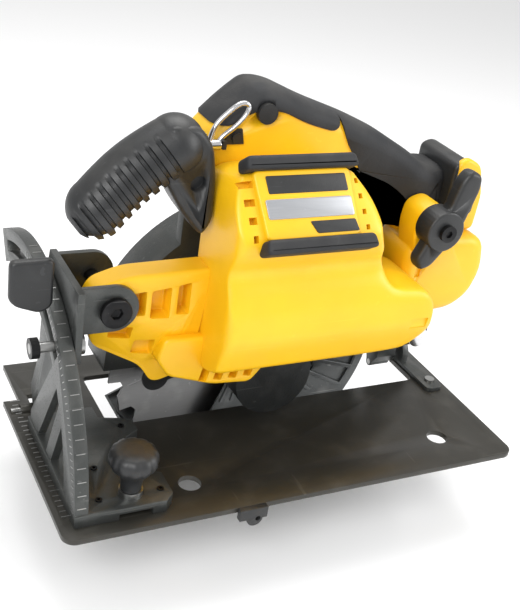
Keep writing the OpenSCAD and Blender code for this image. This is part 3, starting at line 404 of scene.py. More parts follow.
def moulding(name, points, y0, y1, rim, corner=4.0, place="y"):
    outline = rounded(points, corner)
    rims = [(math.sin(a), math.cos(a)) for a in [math.pi / 2 * i / 5 for i in range(6)]]
    levels = [(y0 + rim * (1 - c), rim * (1 - s)) for s, c in rims]
    levels += [(y1 - rim * (1 - c), rim * (1 - s)) for s, c in reversed(rims)]
    rings = []
    for across, amount in levels:
        ring = inset(outline, amount)
        if place == "y":
            rings.append([(p.x, across, p.y) for p in ring])
        elif place == "x":
            rings.append([(across, p.x, p.y) for p in ring])
        else:
            rings.append([(p.x, p.y, across) for p in ring])
    return skin(name, rings)


def moulded(name, slot, points, y0, y1, rim, corner=4.0, place="y"):
    return finished(name, moulding(name, points, y0, y1, rim, corner, place), FINISHES[slot])


# %% Modifiers made permanent
def settled(made):
    depsgraph = bpy.context.evaluated_depsgraph_get()
    mesh = bpy.data.meshes.new_from_object(made.evaluated_get(depsgraph))
    old = made.data
    made.modifiers.clear()
    made.data = mesh
    bpy.data.meshes.remove(old)
    return made


def cut(made, *tools, operation="DIFFERENCE"):
    for tool in tools:
        change = made.modifiers.new("cut", "BOOLEAN")
        change.operation = operation
        change.solver = "EXACT"
        change.use_self = operation == "INTERSECT"
        change.object = tool
        settled(made)
        bpy.data.objects.remove(tool)
    return made


def together(made, *others):
    work = bmesh.new()
    work.from_mesh(made.data)
    for other in others:
        work.from_mesh(other.data)
        bpy.data.objects.remove(other)
    work.to_mesh(made.data)
    work.free()
    return made


def remesh(made, voxel, rounds):
    change = made.modifiers.new("even", "REMESH")
    change.mode = "VOXEL"
    change.voxel_size = voxel * MM
    soft = made.modifiers.new("soft", "SMOOTH")
    soft.factor = 0.5
    soft.iterations = rounds
    return settled(made)


def bevelled(made, width, segments=3, angle=32):
    change = made.modifiers.new("edges", "BEVEL")
    change.width = width * MM
    change.segments = segments
    change.limit_method = "ANGLE"
    change.angle_limit = math.radians(angle)
    change.harden_normals = False
    settled(made)
    made.data.shade_smooth()
    made.data.set_sharp_from_angle(angle=math.radians(40))
    return made


def block(low, high):
    points = [(x, y, z) for x in (low[0], high[0]) for y in (low[1], high[1]) for z in (low[2], high[2])]
    faces = [(0, 1, 3, 2), (4, 6, 7, 5), (0, 4, 5, 1), (2, 3, 7, 6), (0, 2, 6, 4), (1, 5, 7, 3)]
    made = bpy.data.objects.new("tool", mesh_from("tool", points, faces))
    bpy.context.scene.collection.objects.link(made)
    return made


def body_named(node):
    return next(body for body, nodes in frame["record"]["behaviour"]["bodies"].items() if node in nodes)


def stands_for(made, *nodes):
    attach(made, body_named(nodes[0]))
    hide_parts(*nodes)
    return made


def softened(node, name, width, segments=2):
    source = frame["nodes"][node].data.copy()
    work = bmesh.new()
    work.from_mesh(source)
    bmesh.ops.remove_doubles(work, verts=work.verts, dist=0.00002)
    bmesh.ops.dissolve_limit(work, angle_limit=math.radians(1), verts=work.verts, edges=work.edges)
    work.to_mesh(source)
    work.free()
    made = finished(name, source, FINISHES[SLOT_OF[node]])
    bevelled(made, width, segments)
    return stands_for(made, node)

# %% [markdown]
# ## Sheet, cast and turned parts
# A pressed shoe, a cast bracket or a guard has the CAD shape already. What the real one adds is a broken
# edge that catches the light, so each is copied, its flat faces are joined and its edges get a narrow
# bevel.

# %% Copies with broken edges
EDGE_WIDTHS = {
    "shoe_plate": 0.5, "edge_hook": 0.5, "bevel_quadrant": 1.0, "rear_bevel_foot": 0.8, "tilt_bracket": 0.9,
    "rear_depth_bracket": 0.5, "upper_guard": 0.9, "gear_case": 1.0, "depth_arm": 0.9, "lower_guard": 0.35,
    "dust_port": 0.6, "trigger": 2.0, "guard_lever": 0.8, "depth_clamp_bolt": 0.6,
    "depth_pivot_screw": 0.6, "terminal_block": 0.2, "blade_bolt": 0.4, "outer_flange": 0.4,
}
copies = {node: softened(node, node + "_finished", width) for node, width in EDGE_WIDTHS.items()}
print(len(copies), "parts with broken edges")

# %% [markdown]
# ## Motor housing
# The housing is one large moulding: a shelf-like block over the gears, and above it the motor's drum,
# whose near face leans back to carry a label. A straight extrusion is evened out into small faces first.
# Then each point of the near face is pushed to a profile, so that the lean, the shelf and the crease melt
# into each other as on a moulding.

# %% Housing body
HOUSE = [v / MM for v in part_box("motor_housing")[0]], [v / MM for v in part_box("motor_housing")[1]]
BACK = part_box("handle_near")[0][1] / MM
FRONT = HOUSE[0][1]
house_side = [(-60, 62), (-44, 52), (-20, 50), (-10, 60), (26, 65), (72, 73), (84, 88), (84, 106),
              (76, 117), (48, 120), (40, 138), (28, 176), (11, 196), (-40, 196), (-55, 189), (-60, 176)]
near_face = [(48, 40), (60, 34), (66, 25), (71, 9), (80, 6), (90, 2.5), (97, 0.6), (112, 1.5), (124, 4.5),
             (131, 8), (138, 8.5), (147, 3.5), (155, 0.4), (161, 1.0), (196, 25.5), (210, 35.5)]


def profile(z):
    for (za, a), (zb, b) in zip(near_face, near_face[1:]):
        if z <= zb:
            t = min(max((z - za) / (zb - za), 0), 1)
            return a + (b - a) * t
    return near_face[-1][1]


def smooth_profile(z):
    return sum(profile(z + dz) for dz in (-3, -1.5, 0, 1.5, 3)) / 5


def push_near_face(mesh, front):
    for vertex in mesh.vertices:
        y, z = vertex.co.y / MM, vertex.co.z / MM
        floor = front + smooth_profile(z)
        share = min(max((-46 - y) / 20, 0), 1)
        if y < floor + 12:
            target = floor + max(y - front, 0) * 0.35
            vertex.co.y = (y + (max(target, y) - y) * share) * MM


def lower_roof(mesh):
    for vertex in mesh.vertices:
        y, z = vertex.co.y / MM, vertex.co.z / MM
        roof = 199 - max(y + 80, 0) * 0.28
        if z > roof - 8:
            vertex.co.z = (roof - 8 + 8 * math.tanh((z - roof + 8) / 14)) * MM


def outline_inset(points, amount):
    vectors = [Vector(p) for p in points]
    return [tuple(p) for p in inset(vectors, amount)]


house_mesh = moulding("house", house_side, FRONT, BACK - 0.05, 7.0, 9.0)
housing = remesh(finished("motor_housing_shell", house_mesh, FINISHES["yellow_plastic"]), 1.7, 6)
push_near_face(housing.data, FRONT)
lower_roof(housing.data)
print("housing:", len(housing.data.polygons), "faces, back at y", round(BACK, 1))

# %% Grooves, vents and recesses of the drum
SLOPE = 35.0
LABEL_Z = 160
VENTS = 4


def on_label(points_box, lift=0.0):
    low, high = points_box
    made = block(low, high)
    turn = Matrix.Rotation(-math.radians(SLOPE), 4, "X")
    made.data.transform(Matrix.Translation(Vector((0, FRONT + lift, LABEL_Z)) * MM) @ turn)
    return made


drum_cuts = []
for i in range(VENTS):
    drum_cuts.append(on_label(((-52 - 1.5 * i, -6, 1 + 10 * i), (-49 + 0.2 * i, 7, 5 + 10 * i)), -1))
for i in range(VENTS):
    drum_cuts.append(on_label(((19.5 - 1.2 * i, -6, 4 + 9 * i), (22 - 1.2 * i, 6, 7 + 9 * i)), -1))
drum_cuts.append(block((66, FRONT - 2, 92), (78, FRONT + 2.4, 99)))
housing = cut(housing, *drum_cuts)
housing.data.materials.clear()
housing.data.materials.append(FINISHES["yellow_plastic"])
housing.data.shade_smooth()
housing.data.set_sharp_from_angle(angle=math.radians(42))
stands_for(housing, "motor_housing")

# %% [markdown]
# ## Nose arm
# The arm that reaches forward to the depth pivot is ribbed, because a solid bar of plastic would sink as
# it cools. The ribs are what is left between pockets, so the pockets are cut from a rounded bar.

# %% Arm with its pockets
ARM = (-63.0, -45.0)
arm_side = [(-128, 96), (-132, 110), (-127, 122), (-108, 128), (-56, 129), (-56, 56), (-84, 48), (-93, 62),
            (-124, 80)]
arm = moulded("nose_arm", "yellow_plastic", arm_side, ARM[0], ARM[1], 2.5, 6.0)
arm_pockets = [((-106, 103), 9, 15), ((-94, 100), 12, 19), ((-78, 101), 8, 20)]
arm_pockets += [((-116, 86), 13, 9), ((-100, 72), 12, 12), ((-85, 66), 11, 15), ((-71, 64), 9, 16)]
tools = []
for (x, z), width, height in arm_pockets:
    corners = [(x, z), (x + width, z - 0.08 * width), (x + width, z + height), (x, z + height * 0.94)]
    pocket = moulding("pocket", corners, ARM[0] - 4, ARM[0] + 11, 1.0, 1.5)
    tools.append(finished("tool", pocket, FINISHES["yellow_plastic"]))
arm = cut(arm, *tools)
for vertex in arm.data.vertices:
    x, y, z = vertex.co / MM
    below = max(111 - (x + 130) * 0.5 if x < -83 else 87.5 - (x + 83) * 0.15, 78) - z
    if below > 0 and y < -50:
        vertex.co.y += min(below * 0.42, 11) * min((-50 - y) / 13, 1) * MM
bevelled(arm, 0.6, 2)
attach(arm, "saw_body")
print("arm:", len(arm.data.polygons), "faces,", len(arm_pockets), "pockets")

# %% Lower block with its sloping ribs
block_side = [(-88, 72), (-80, 60), (-50, 50), (-24, 48), (-16, 58), (-10, 70), (-12, 84), (-84, 86)]
lower_block = moulded("lower_block", "yellow_plastic", block_side, -66, -42, 2.4, 4.0)
rib_tools = []
for i in range(4):
    x = -60 + 10 * i
    corners = [(x, 54), (x + 5.5, 53), (x + 10, 72), (x + 4.5, 73)]
    rib_tools.append(moulded("tool", "yellow_plastic", corners, -72, -57, 1.0, 1.0))
lower_block = cut(lower_block, *rib_tools)
bevelled(lower_block, 0.6, 2)
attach(lower_block, "saw_body")

# %% [markdown]
# ## Label face
# Two rubber bumpers protect the cap when the saw is set down on its side. Between them sit plain plates
# where a maker would print, left without any lettering. All are mouldings made flat and then leaned back
# with the housing's face.

# %% Cap, bumpers and plates
CAP = (-47.0, 15.0)


def leaned(made, up=0.0, out=0.0):
    turn = Matrix.Rotation(-math.radians(SLOPE), 4, "X")
    place = Matrix.Translation(Vector((0, FRONT, LABEL_Z)) * MM)
    shift = Matrix.Translation(Vector((0, -out, up)) * MM)
    made.data.transform(place @ turn @ shift)
    return made


cap_shape = [(CAP[0] + 2, 0.5), (CAP[1] - 1, 0.5), (CAP[1] - 3, 39.5), (CAP[0] - 2, 39.5)]
cap = moulded("end_cap", "yellow_plastic", cap_shape, -2.6, 4, 1.5, 4.0)
leaned(cap)
stands_for(cap, "motor_end_cap")
bumper_rings = []
for low, high, lean in ((-7.5, 1.0, 3.0), (39.0, 47.0, -3.0)):
    left, right_side = CAP[0] + lean, CAP[1] + lean
    shape = [(left - 4, low), (right_side + 5, low), (right_side + 3, high), (left - 3, high)]
    bumper_rings.append(moulded("bumper", "black_rubber", shape, -7.5, 7.0, 2.6, 3.0))
bumpers = together(*bumper_rings)
bumpers.name = "bumpers"
leaned(bumpers)
stands_for(bumpers, "end_cap_bumpers")
plate_shape = [(-43, 12), (11, 12), (10, 23), (-44, 23)]
plate = moulded("silver_plate", "silver_label", plate_shape, -3.2, 0, 0.3, 1.5)
leaned(plate)
stands_for(plate, "badge_plates")
for name, shape in (("dark_plate", [(-14, 3), (13, 3), (11, 10), (-18, 10)]),
                    ("dark_band", [(-41, 26), (9, 26), (8, 36), (-42, 36)])):
    extra = moulded(name, "black_plastic", shape, -3.1, 0, 0.3, 1.2)
    leaned(extra)
    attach(extra, "saw_body")
print("label face done")

# %% [markdown]
# ## Rear housing, handle and soft grip
# One yellow moulding stands for both halves of the handle, with a black overmould that wraps the grip.
# Both come from the same outline, so the overmould stands a steady millimetre proud. Its edges are cut by
# a curved outline, as the mould's shut-off does.

# %% Rear housing
REAR = (-60.0, -19.2)
LEVER_HUB = (92, 147)
rear_side = [(80, 92), (86, 82), (106, 78), (126, 80), (139, 90), (145, 108), (141, 128), (132, 134),
             (118, 134), (100, 140), (80, 128)]
rear = moulded("rear_housing_shell", "yellow_plastic", rear_side, REAR[0], REAR[1], 7.0, 9.0)
ear_side = [(80, 142), (82, 156), (94, 160), (104, 153), (116, 128), (104, 118), (84, 122)]
ear = moulded("tool", "yellow_plastic", ear_side, REAR[0] - 0.5, -40.5, 2.0, 7.0)
boss = moulded("tool", "yellow_plastic", circle(*LEVER_HUB, 6, 16), -73.5, -58, 0.5, 0.5)
rear = cut(rear, ear, boss, operation="UNION")
rear_groove = block((88, REAR[0] - 2.0, 108), (92, REAR[0] + 1.5, 124))
rear = cut(rear, rear_groove)
stands_for(rear, "rear_housing")

# %% Handle
HANDLE = (-39.0, -5.0)
handle_side = [(-63, 176), (-62, 198), (-44, 216), (-30, 227), (-18, 225), (6, 215), (38, 204),
               (62, 194), (84, 182), (97, 173), (113, 173), (117, 152), (117, 126), (84, 126), (81, 145),
               (66, 157), (46, 165), (24, 173), (-24, 173), (-36, 166), (-43, 148), (-59, 148)]
handle = moulded("handle_shells", "yellow_plastic", handle_side, HANDLE[0], HANDLE[1], 10.0, 8.0)
trigger_slot = block((-23, -32, 150), (21, -12, 181))
handle = cut(handle, trigger_slot)
BUTTON = (-26.0, 213.0, 6.15)


def button_bore():
    ring = circle(*BUTTON, 48)
    return moulded("tool", "black_plastic", ring, -50, 6, 0.05, 0.01)


handle = cut(handle, button_bore())
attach(handle, "saw_body")
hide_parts("handle_near", "handle_far")

# %% Battery receptacle with its dark side panel
foot_side = [(110, 136), (110, 180), (118, 183), (128, 178), (134, 158), (133, 137)]
foot = moulded("battery_receptacle_shell", "black_plastic", foot_side, -49, -6, 3.0, 5.0)
stands_for(foot, "battery_receptacle")
collar_side = [(112, 134), (112, 181), (119, 184.5), (130, 179), (136, 158), (135, 134)]
collar = moulded("receptacle_collar", "yellow_plastic", collar_side, -50, -44, 2.5, 5.0)
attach(collar, "saw_body")
panel_side = [(119, 146), (118, 174), (126, 173), (130, 158), (129, 146)]
panel = moulded("receptacle_panel", "black_plastic", panel_side, -50.6, -48, 0.5, 3.0)
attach(panel, "saw_body")

# %% Overmould
proud = outline_inset(rounded(handle_side, 8.0), -1.1)
grip_zone = [(20, 226), (30, 196), (44, 176), (52, 150), (68, 140), (80, 132), (122, 146), (114, 190),
             (60, 230)]
peak_zone = [(-70, 205), (-46, 205), (-34, 214), (-16, 214), (2, 206), (24, 200), (30, 228), (-60, 236)]
near_levels = [(HANDLE[0] - 1.1, 10), (HANDLE[0] - 0.3, 5.5), (HANDLE[0] + 3, 1.8), (HANDLE[0] + 9, 0)]
far_levels = [(HANDLE[1] - 9, 0), (HANDLE[1] - 3, 1.8), (HANDLE[1] + 0.3, 5.5), (HANDLE[1] + 1.1, 10)]
sleeve = [[(p[0], y, p[1]) for p in outline_inset(proud, amount)] for y, amount in near_levels + far_levels]
zones = []
for name, zone in (("grip", grip_zone), ("peak", peak_zone)):
    body = finished("tool", skin(name, sleeve), FINISHES["black_rubber"])
    edge = moulded("tool", "black_rubber", zone, HANDLE[0] - 8, HANDLE[1] + 8, 0.2, 7.0)
    zones.append(cut(body, edge, operation="INTERSECT"))
cover = zones[0]
cover.name = "grip_overmould"
bevelled(cover, 0.5, 2)
stands_for(cover, "grip_cover")
peak = zones[1]
peak.name = "peak_overmould"
bevelled(peak, 0.5, 2)
peak = cut(peak, button_bore())
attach(peak, "saw_body")
print("handle:", len(handle.data.polygons), "overmould:", len(cover.data.polygons))

# %% [markdown]
# ## Front handle
# A fat, smooth grip with finger ribs on its lower half. It follows one rule, so it is made of rings along
# its axis: the radius rises out of the end as a dome, and on the near and lower sides it dips between the
# ribs.

# %% Grip with finger ribs
GRIP_TOP = Vector((-84, -50, 200))
GRIP_END = Vector((-126.5, -52, 166))
GRIP_R = 16.5
RIBS = 11
RIB_DEPTH = 2.2


def grip_rings():
    axis = (GRIP_END - GRIP_TOP).normalized()
    side = Vector((0, -1, 0))
    lift = axis.cross(side).normalized()
    length = (GRIP_END - GRIP_TOP).length
    rings = []
    steps = 150
    for i in range(steps + 1):
        s = -GRIP_R + (length + 2 * GRIP_R - 1) * i / steps
        dome = 1.0
        if s < 0:
            dome = math.sqrt(max(1 - (s / GRIP_R) ** 2, 0.003))
        if s > length:
            dome = math.sqrt(max(1 - ((s - length) / GRIP_R) ** 2, 0.003))
        wave = s / (length + GRIP_R) * RIBS
        notch = 1.0 if wave % 1 < 0.42 and 0.4 < wave < RIBS - 0.6 else 0.0
        bow = 3.0 * math.sin(math.pi * min(max(s / length, 0), 1))
        middle = GRIP_TOP + axis * s + lift * bow
        ring = []
        for j in range(56):
            a = 2 * math.pi * j / 56
            facing = math.cos(a - 0.55)
            share = min(max((facing - 0.05) * 4, 0), 1)
            r = GRIP_R * dome - notch * share * RIB_DEPTH * min(dome * 1.4, 1)
            ring.append(middle + side * (r * math.cos(a)) - lift * (r * 1.04 * math.sin(a)))
        rings.append(ring)
    return rings


grip = finished("front_grip", skin("grip", grip_rings()), FINISHES["black_plastic"], angle=50)
root_side = [(-92, 214), (-74, 213), (-65.5, 202), (-62, 184), (-61, 158), (-67, 148), (-82, 166), (-98, 192)]
root = moulded("tool", "black_plastic", root_side, -62, -40.2, 4.0, 6.0)
socket_hole = moulded("tool", "black_plastic", circle(-73, 181, 5, 16), -70, -56, 0.2, 0.2)
grip = together(grip, cut(root, socket_hole))
stands_for(grip, "front_handle")
print("front handle:", len(grip.data.polygons), "faces")

# %% [markdown]
# ## Levers, knob and hook
# These are the pieces that a hand moves. Each rides on its own body, so it turns with its joint.

# %% Depth lever and bevel lever
lever_side = [(84, 154), (82, 140), (76, 127), (80, 120), (88, 122), (99, 136), (106, 148), (113, 174),
              (112, 183), (103, 186), (98, 180), (93, 160)]
depth_lever = moulded("depth_lever_grip", "black_plastic", lever_side, -74, -63.6, 3.0, 6.0)
hub_ring = circle(*LEVER_HUB, 13.5, 32)
hub = moulded("tool", "black_plastic", hub_ring, -76, -60.6, 1.5, 0.5)
bore_ring = circle(*LEVER_HUB, 6.5, 32)
bore = moulded("tool", "black_plastic", bore_ring, -73.9, -55, 0.1, 0.1)
depth_lever = cut(cut(depth_lever, hub, operation="UNION"), bore)
stands_for(depth_lever, "depth_lever")

low, high = [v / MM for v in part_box("bevel_lever")[0]], [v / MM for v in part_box("bevel_lever")[1]]
bolt = (-61.7, 88.4)
arm_x = (high[0] - 7.5, high[0] - 0.2)
paddle_side = [(low[0], high[2]), (high[0], high[2]), (high[0], 112), (high[0] - 7, 108),
               (low[0] + 4, 113), (low[0], 117)]
paddle = moulded("bevel_paddle", "black_plastic", paddle_side, -59.5, -53.5, 2.2, 4.0)
arm_outline = [(bolt[0] - 8, bolt[1] - 7), (bolt[0] + 7, bolt[1] - 8), (bolt[0] + 9, bolt[1] + 10),
               (bolt[0] + 8, 124), (bolt[0] + 2, 128), (bolt[0] - 1, 112), (bolt[0] - 9, bolt[1] + 8)]
stem = moulded("tool", "black_plastic", arm_outline, arm_x[0], arm_x[1], 1.6, 6.0, place="x")
ring = circle(*bolt, 3.2, 24)
bolt_hole = moulded("tool", "black_plastic", ring, arm_x[0] - 4, arm_x[1] + 4, 0.1, 0.1, place="x")
paddle = together(paddle, cut(stem, bolt_hole))
stands_for(paddle, "bevel_lever")

# %% Fence knob, turned with a fluted edge
low, high = [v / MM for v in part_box("fence_knob")[0]], [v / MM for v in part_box("fence_knob")[1]]
centre = ((low[0] + high[0]) / 2, (low[1] + high[1]) / 2)
knob_profile = [(0.42, 0.0), (0.44, 0.16), (0.5, 0.3), (0.66, 0.44), (0.9, 0.58), (1.0, 0.7), (0.99, 0.82),
                (0.9, 0.93), (0.7, 0.985), (0.3, 1.0)]
knob_r = (high[0] - low[0]) / 2
rings = []
for share, rise in knob_profile:
    z = low[2] + (high[2] - low[2]) * rise
    ring = []
    for i in range(72):
        a = 2 * math.pi * i / 72
        flute = 1 - 0.045 * max(math.cos(12 * a), 0) * (1 if share > 0.6 and rise < 0.95 else 0)
        r = knob_r * share * flute
        ring.append((centre[0] + r * math.cos(a), centre[1] + r * math.sin(a), z))
    rings.append(ring)
knob = finished("fence_knob_grip", skin("knob", rings), FINISHES["black_plastic"], angle=50)
stands_for(knob, "fence_knob")

# %% Hook bent from wire, with a flat eye
low, high = [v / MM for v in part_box("rafter_hook")[0]], [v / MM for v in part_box("rafter_hook")[1]]
hook_y = (low[1] + high[1]) / 2
HOOK_Z = 196
left = low[0] + 1.3
route = [(left, low[2] + 3), (left + 0.3, 206), (-52, 214), (-45, 220), (-40, high[2] - 1.6), (-38.2, 217),
         (-41, 211), (-48, 204), (high[0] - 1.0 - 16.5, 200), (high[0] - 18.3, low[2] + 3)]
curve = bpy.data.curves.new("wire", "CURVE")
curve.dimensions = "3D"
spline = curve.splines.new("NURBS")
spline.points.add(len(route) - 1)
for point, (x, z) in zip(spline.points, route):
    point.co = (x * MM, hook_y * MM, z * MM, 1)
spline.use_endpoint_u = True
spline.order_u = 4
spline.resolution_u = 8
curve.bevel_depth = 1.5 * MM
curve.bevel_resolution = 5
curve.use_fill_caps = True
wire = bpy.data.objects.new("wire", curve)
bpy.context.scene.collection.objects.link(wire)
wire_mesh = bpy.data.meshes.new_from_object(wire.evaluated_get(bpy.context.evaluated_depsgraph_get()))
bpy.data.objects.remove(wire)
hook = finished("hook_wire", wire_mesh, FINISHES["chrome_steel"])
eye = circle(hook_y, HOOK_Z, 3.1, 24)
barrel = moulded("tool", "chrome_steel", eye, low[0] + 0.1, low[0] + 8.0, 0.6, 0.4, place="x")
pin_ring = circle(hook_y, HOOK_Z, 1.6, 24)
pin_hole = moulded("tool", "chrome_steel", pin_ring, low[0] - 5, low[0] + 14, 0.05, 0.1, place="x")
hook = together(hook, cut(barrel, pin_hole))
stands_for(hook, "rafter_hook")
print("hand pieces done")

# %% [markdown]
# ## Things that repeat
# Scale lines, guard ribs and bosses repeat by a step or a turn. One geometry tree serves them all: it
# puts copies of the object's own mesh along a line, and turns each one a little further than the last.

# %% The tree of stepped and turned copies
def make_copies_tree():
    tree = bpy.data.node_groups.new("stepped_copies", "GeometryNodeTree")
    face = tree.interface
    face.new_socket(name="Geometry", in_out="INPUT", socket_type="NodeSocketGeometry")
    face.new_socket(name="Count", in_out="INPUT", socket_type="NodeSocketInt")
    face.new_socket(name="Step", in_out="INPUT", socket_type="NodeSocketVector")
    face.new_socket(name="Turn", in_out="INPUT", socket_type="NodeSocketVector")
    face.new_socket(name="Centre", in_out="INPUT", socket_type="NodeSocketVector")
    face.new_socket(name="Material", in_out="INPUT", socket_type="NodeSocketMaterial")
    face.new_socket(name="Geometry", in_out="OUTPUT", socket_type="NodeSocketGeometry")
    given, out = add_node(tree, "NodeGroupInput"), add_node(tree, "NodeGroupOutput")
    line = add_node(tree, "GeometryNodeMeshLine")
    index = add_node(tree, "GeometryNodeInputIndex")
    turn = add_node(tree, "ShaderNodeVectorMath", operation="SCALE")
    copies = add_node(tree, "GeometryNodeInstanceOnPoints")
    shift = add_node(tree, "GeometryNodeTransform")
    real = add_node(tree, "GeometryNodeRealizeInstances")
    paint = add_node(tree, "GeometryNodeSetMaterial")
    link = tree.links.new
    link(given.outputs["Count"], line.inputs["Count"])
    link(given.outputs["Step"], line.inputs["Offset"])
    link(given.outputs["Turn"], turn.inputs[0])
    link(index.outputs[0], turn.inputs["Scale"])
    link(line.outputs[0], copies.inputs["Points"])
    link(given.outputs["Geometry"], copies.inputs["Instance"])
    link(turn.outputs[0], copies.inputs["Rotation"])
    link(copies.outputs[0], shift.inputs["Geometry"])
    link(given.outputs["Centre"], shift.inputs["Translation"])
    link(shift.outputs[0], real.inputs[0])
    link(real.outputs[0], paint.inputs["Geometry"])
    link(given.outputs["Material"], paint.inputs["Material"])
    link(paint.outputs[0], out.inputs[0])
    return tree


COPIES = make_copies_tree()


def repeated(name, one, count, slot, body, step=(0, 0, 0), turn=(0, 0, 0), centre=(0, 0, 0)):
    one.name = name
    change = one.modifiers.new("copies", "NODES")
    change.node_group = COPIES
    values = {"Count": count, "Step": [v * MM for v in step], "Turn": [math.radians(v) for v in turn],
              "Centre": [v * MM for v in centre], "Material": FINISHES[slot]}
    for socket in COPIES.interface.items_tree:
        if socket.in_out == "INPUT" and socket.name in values:
            change[socket.identifier] = values[socket.name]
    settled(one)
    one.data.materials.clear()
    one.data.materials.append(FINISHES[slot])
    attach(one, body)
    return one


# %% Scale lines on the shoe and the quadrant
shoe_low, shoe_high = [[v / MM for v in corner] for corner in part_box("shoe_plate")]
left, near, top = shoe_low[0], shoe_low[1] + 16, shoe_high[2]
tick = block((left + 3, near, top - 0.1), (left + 6.5, near + 0.5, top + 0.12))
repeated("shoe_scale", tick, 26, "zinc_steel", "shoe", step=(0, 4.6, 0))
long_tick = block((left + 2.6, near, top - 0.1), (left + 9, near + 0.6, top + 0.14))
repeated("shoe_scale_long", long_tick, 6, "zinc_steel", "shoe", step=(0, 23, 0))
quad_low = [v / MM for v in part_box("bevel_quadrant")[0]]
TILT_Z = 3.5
RIM_R = 116.0
mark = block((quad_low[0] + 1.5, -0.25, RIM_R - 0.25), (quad_low[0] + 6.5, 0.25, RIM_R + 0.22))
repeated("bevel_scale", mark, 24, "zinc_steel", "shoe", turn=(4.0, 0, 0), centre=(0, 0, TILT_Z))
face_mark = block((quad_low[0] - 0.15, -0.2, 109.5), (quad_low[0] + 0.2, 0.2, 113.5))
repeated("bevel_marks", face_mark, 44, "zinc_steel", "shoe", turn=(2.0, 0, 0), centre=(0, 0, TILT_Z))

# %% Ribs and bosses on the lower guard's near wall
ARBOR_Z = 40.0
GUARD_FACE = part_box("lower_guard")[0][1] / MM
rib_side = [(26, -1.1), (92, -1.6), (92, 1.6), (26, 1.1)]
guard_rib = moulded("rib", "guard_alloy", rib_side, GUARD_FACE - 1.6, GUARD_FACE + 0.4, 0.6, 0.6)
guard_rib.data.transform(Matrix.Rotation(math.radians(108), 4, "Y"))
repeated("guard_ribs", guard_rib, 13, "guard_alloy", "lower_guard_body",
         turn=(0, -10, 0), centre=(0, 0, ARBOR_Z))


def disc(r, y0, y1, x, z, rim=0.5):
    outline = circle(x, z, r, 40)
    return moulding("disc", outline, y0, y1, rim, 0.01)


guard_boss = finished("boss", disc(5.5, GUARD_FACE - 1.5, GUARD_FACE + 0.3, 62, 0), FINISHES["guard_alloy"])
guard_boss.data.transform(Matrix.Rotation(math.radians(98), 4, "Y"))
repeated("guard_bosses", guard_boss, 3, "guard_alloy", "lower_guard_body",
         turn=(0, -40, 0), centre=(0, 0, ARBOR_Z))
BAND_ANGLES = [math.radians(-110 + 130 * i / 60) for i in range(61)]
for name, radius in (("inner", 27.0), ("middle", 60.0), ("outer", 90.0)):
    band = []
    for r, y in ((radius, GUARD_FACE + 0.3), (radius, GUARD_FACE - 1.2), (radius + 1.8, GUARD_FACE - 1.2),
                 (radius + 1.8, GUARD_FACE + 0.3)):
        band.append([(r * math.cos(a), y, r * math.sin(a) + ARBOR_Z) for a in BAND_ANGLES])
    count = len(BAND_ANGLES)
    points = [p for ring in band for p in ring]
    faces = [(r * count + i, r * count + i + 1, ((r + 1) % 4) * count + i + 1, ((r + 1) % 4) * count + i)
             for r in range(4) for i in range(count - 1)]
    faces += [(0, count, 2 * count, 3 * count), (count - 1, 2 * count - 1, 3 * count - 1, 4 * count - 1)]
    rib = finished("guard_band_" + name, mesh_from("band", points, faces), FINISHES["guard_alloy"])
    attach(rib, "lower_guard_body")

# %% [markdown]
# ## Clear of the slot
# At full bevel the lower guard all but touches the slot's edge, so nothing may stand proud of it down there.

# %% Guard details kept clear of the shoe's slot
SLOT_CLEAR_Z = -3.0
for name in ("guard_ribs", "guard_bosses", "guard_band_inner", "guard_band_middle", "guard_band_outer"):
    cut(bpy.data.objects[name], block((-200, -40, -200), (200, 20, SLOT_CLEAR_Z)))

# %% Screws of the housing, with a star recess
def star_screw(x, z, y, r):
    head = finished("head", disc(r, y - 1.6, y + 0.2, x, z, 0.6), FINISHES["black_steel"])
    star = [(x + r * (0.5 if i % 2 else 0.36) * math.cos(i * math.pi / 6),
             z + r * (0.5 if i % 2 else 0.36) * math.sin(i * math.pi / 6)) for i in range(12)]
    tool = moulded("tool", "black_steel", star, y - 3, y - 0.4, 0.05, 0.4)
    return cut(head, tool)


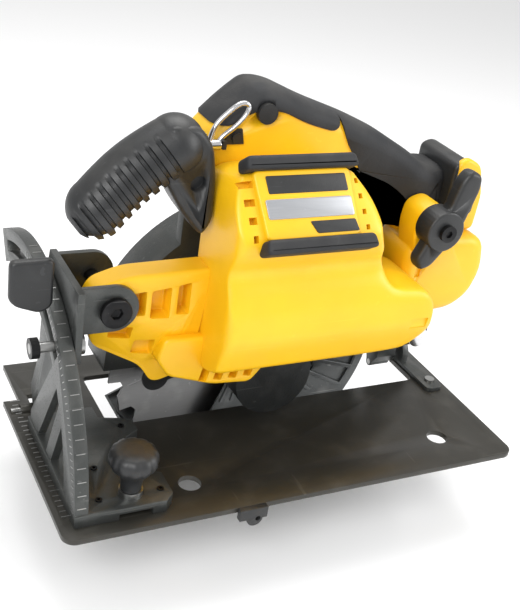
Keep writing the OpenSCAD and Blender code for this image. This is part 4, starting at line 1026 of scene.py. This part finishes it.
screw_spots = [(-62, 103, -64), (-50, 104, -94.6), (33, 109, FRONT + 1), (62, 104, FRONT + 1),
               (99, 112, REAR[0] + 0.5)]
screws = [star_screw(x, z, y, 5.6) for x, z, y in screw_spots]
joined = together(*screws)
joined.name = "housing_screw_heads"
stands_for(joined, "housing_screws")
print("repeats done")

# %% [markdown]
# ## Floor and light
# A pale floor and three large soft lights: one above, one at the front on the motor side, and a weaker
# one behind the rear on the same side. The floor lies just under the lowest point of the guard.

# %% Floor
FLOOR_HALF = 6
floor_z = cad_box[0][2] - 0.001
floor_mesh = bpy.data.meshes.new("floor")
corners = [(x * FLOOR_HALF, y * FLOOR_HALF, floor_z) for x, y in ((-1, -1), (1, -1), (1, 1), (-1, 1))]
floor_mesh.from_pydata(corners, [], [(0, 1, 2, 3)])
floor = bpy.data.objects.new("floor", floor_mesh)
bpy.context.scene.collection.objects.link(floor)
pale = bpy.data.materials.new("pale_floor")
pale.use_nodes = True
pale.node_tree.nodes["Principled BSDF"].inputs["Base Color"].default_value = (0.93, 0.93, 0.93, 1)
pale.node_tree.nodes["Principled BSDF"].inputs["Roughness"].default_value = 0.9
floor_mesh.materials.append(pale)

# %% Lights
def area_light(name, place, target, size, power):
    data = bpy.data.lights.new(name, "AREA")
    data.shape = "RECTANGLE"
    data.size, data.size_y = size
    data.energy = power
    lamp = bpy.data.objects.new(name, data)
    lamp.location = place
    lamp.rotation_euler = (Vector(target) - Vector(place)).to_track_quat("-Z", "Y").to_euler()
    bpy.context.scene.collection.objects.link(lamp)


area_light("top", (0.1, 0.25, 1.1), (0, 0, 0.1), (0.9, 0.7), 8)
area_light("key", (-0.75, -0.8, 0.8), (0, 0, 0.08), (0.6, 0.6), 9)
area_light("side", (0.95, -0.7, 0.55), (0, 0, 0.1), (0.5, 0.7), 7)
world = bpy.data.worlds.new("studio")
world.use_nodes = True
world.node_tree.nodes["Background"].inputs["Color"].default_value = (1, 1, 1, 1)
world.node_tree.nodes["Background"].inputs["Strength"].default_value = 0.75
bpy.context.scene.world = world
bpy.context.scene.view_settings.view_transform = "Standard"
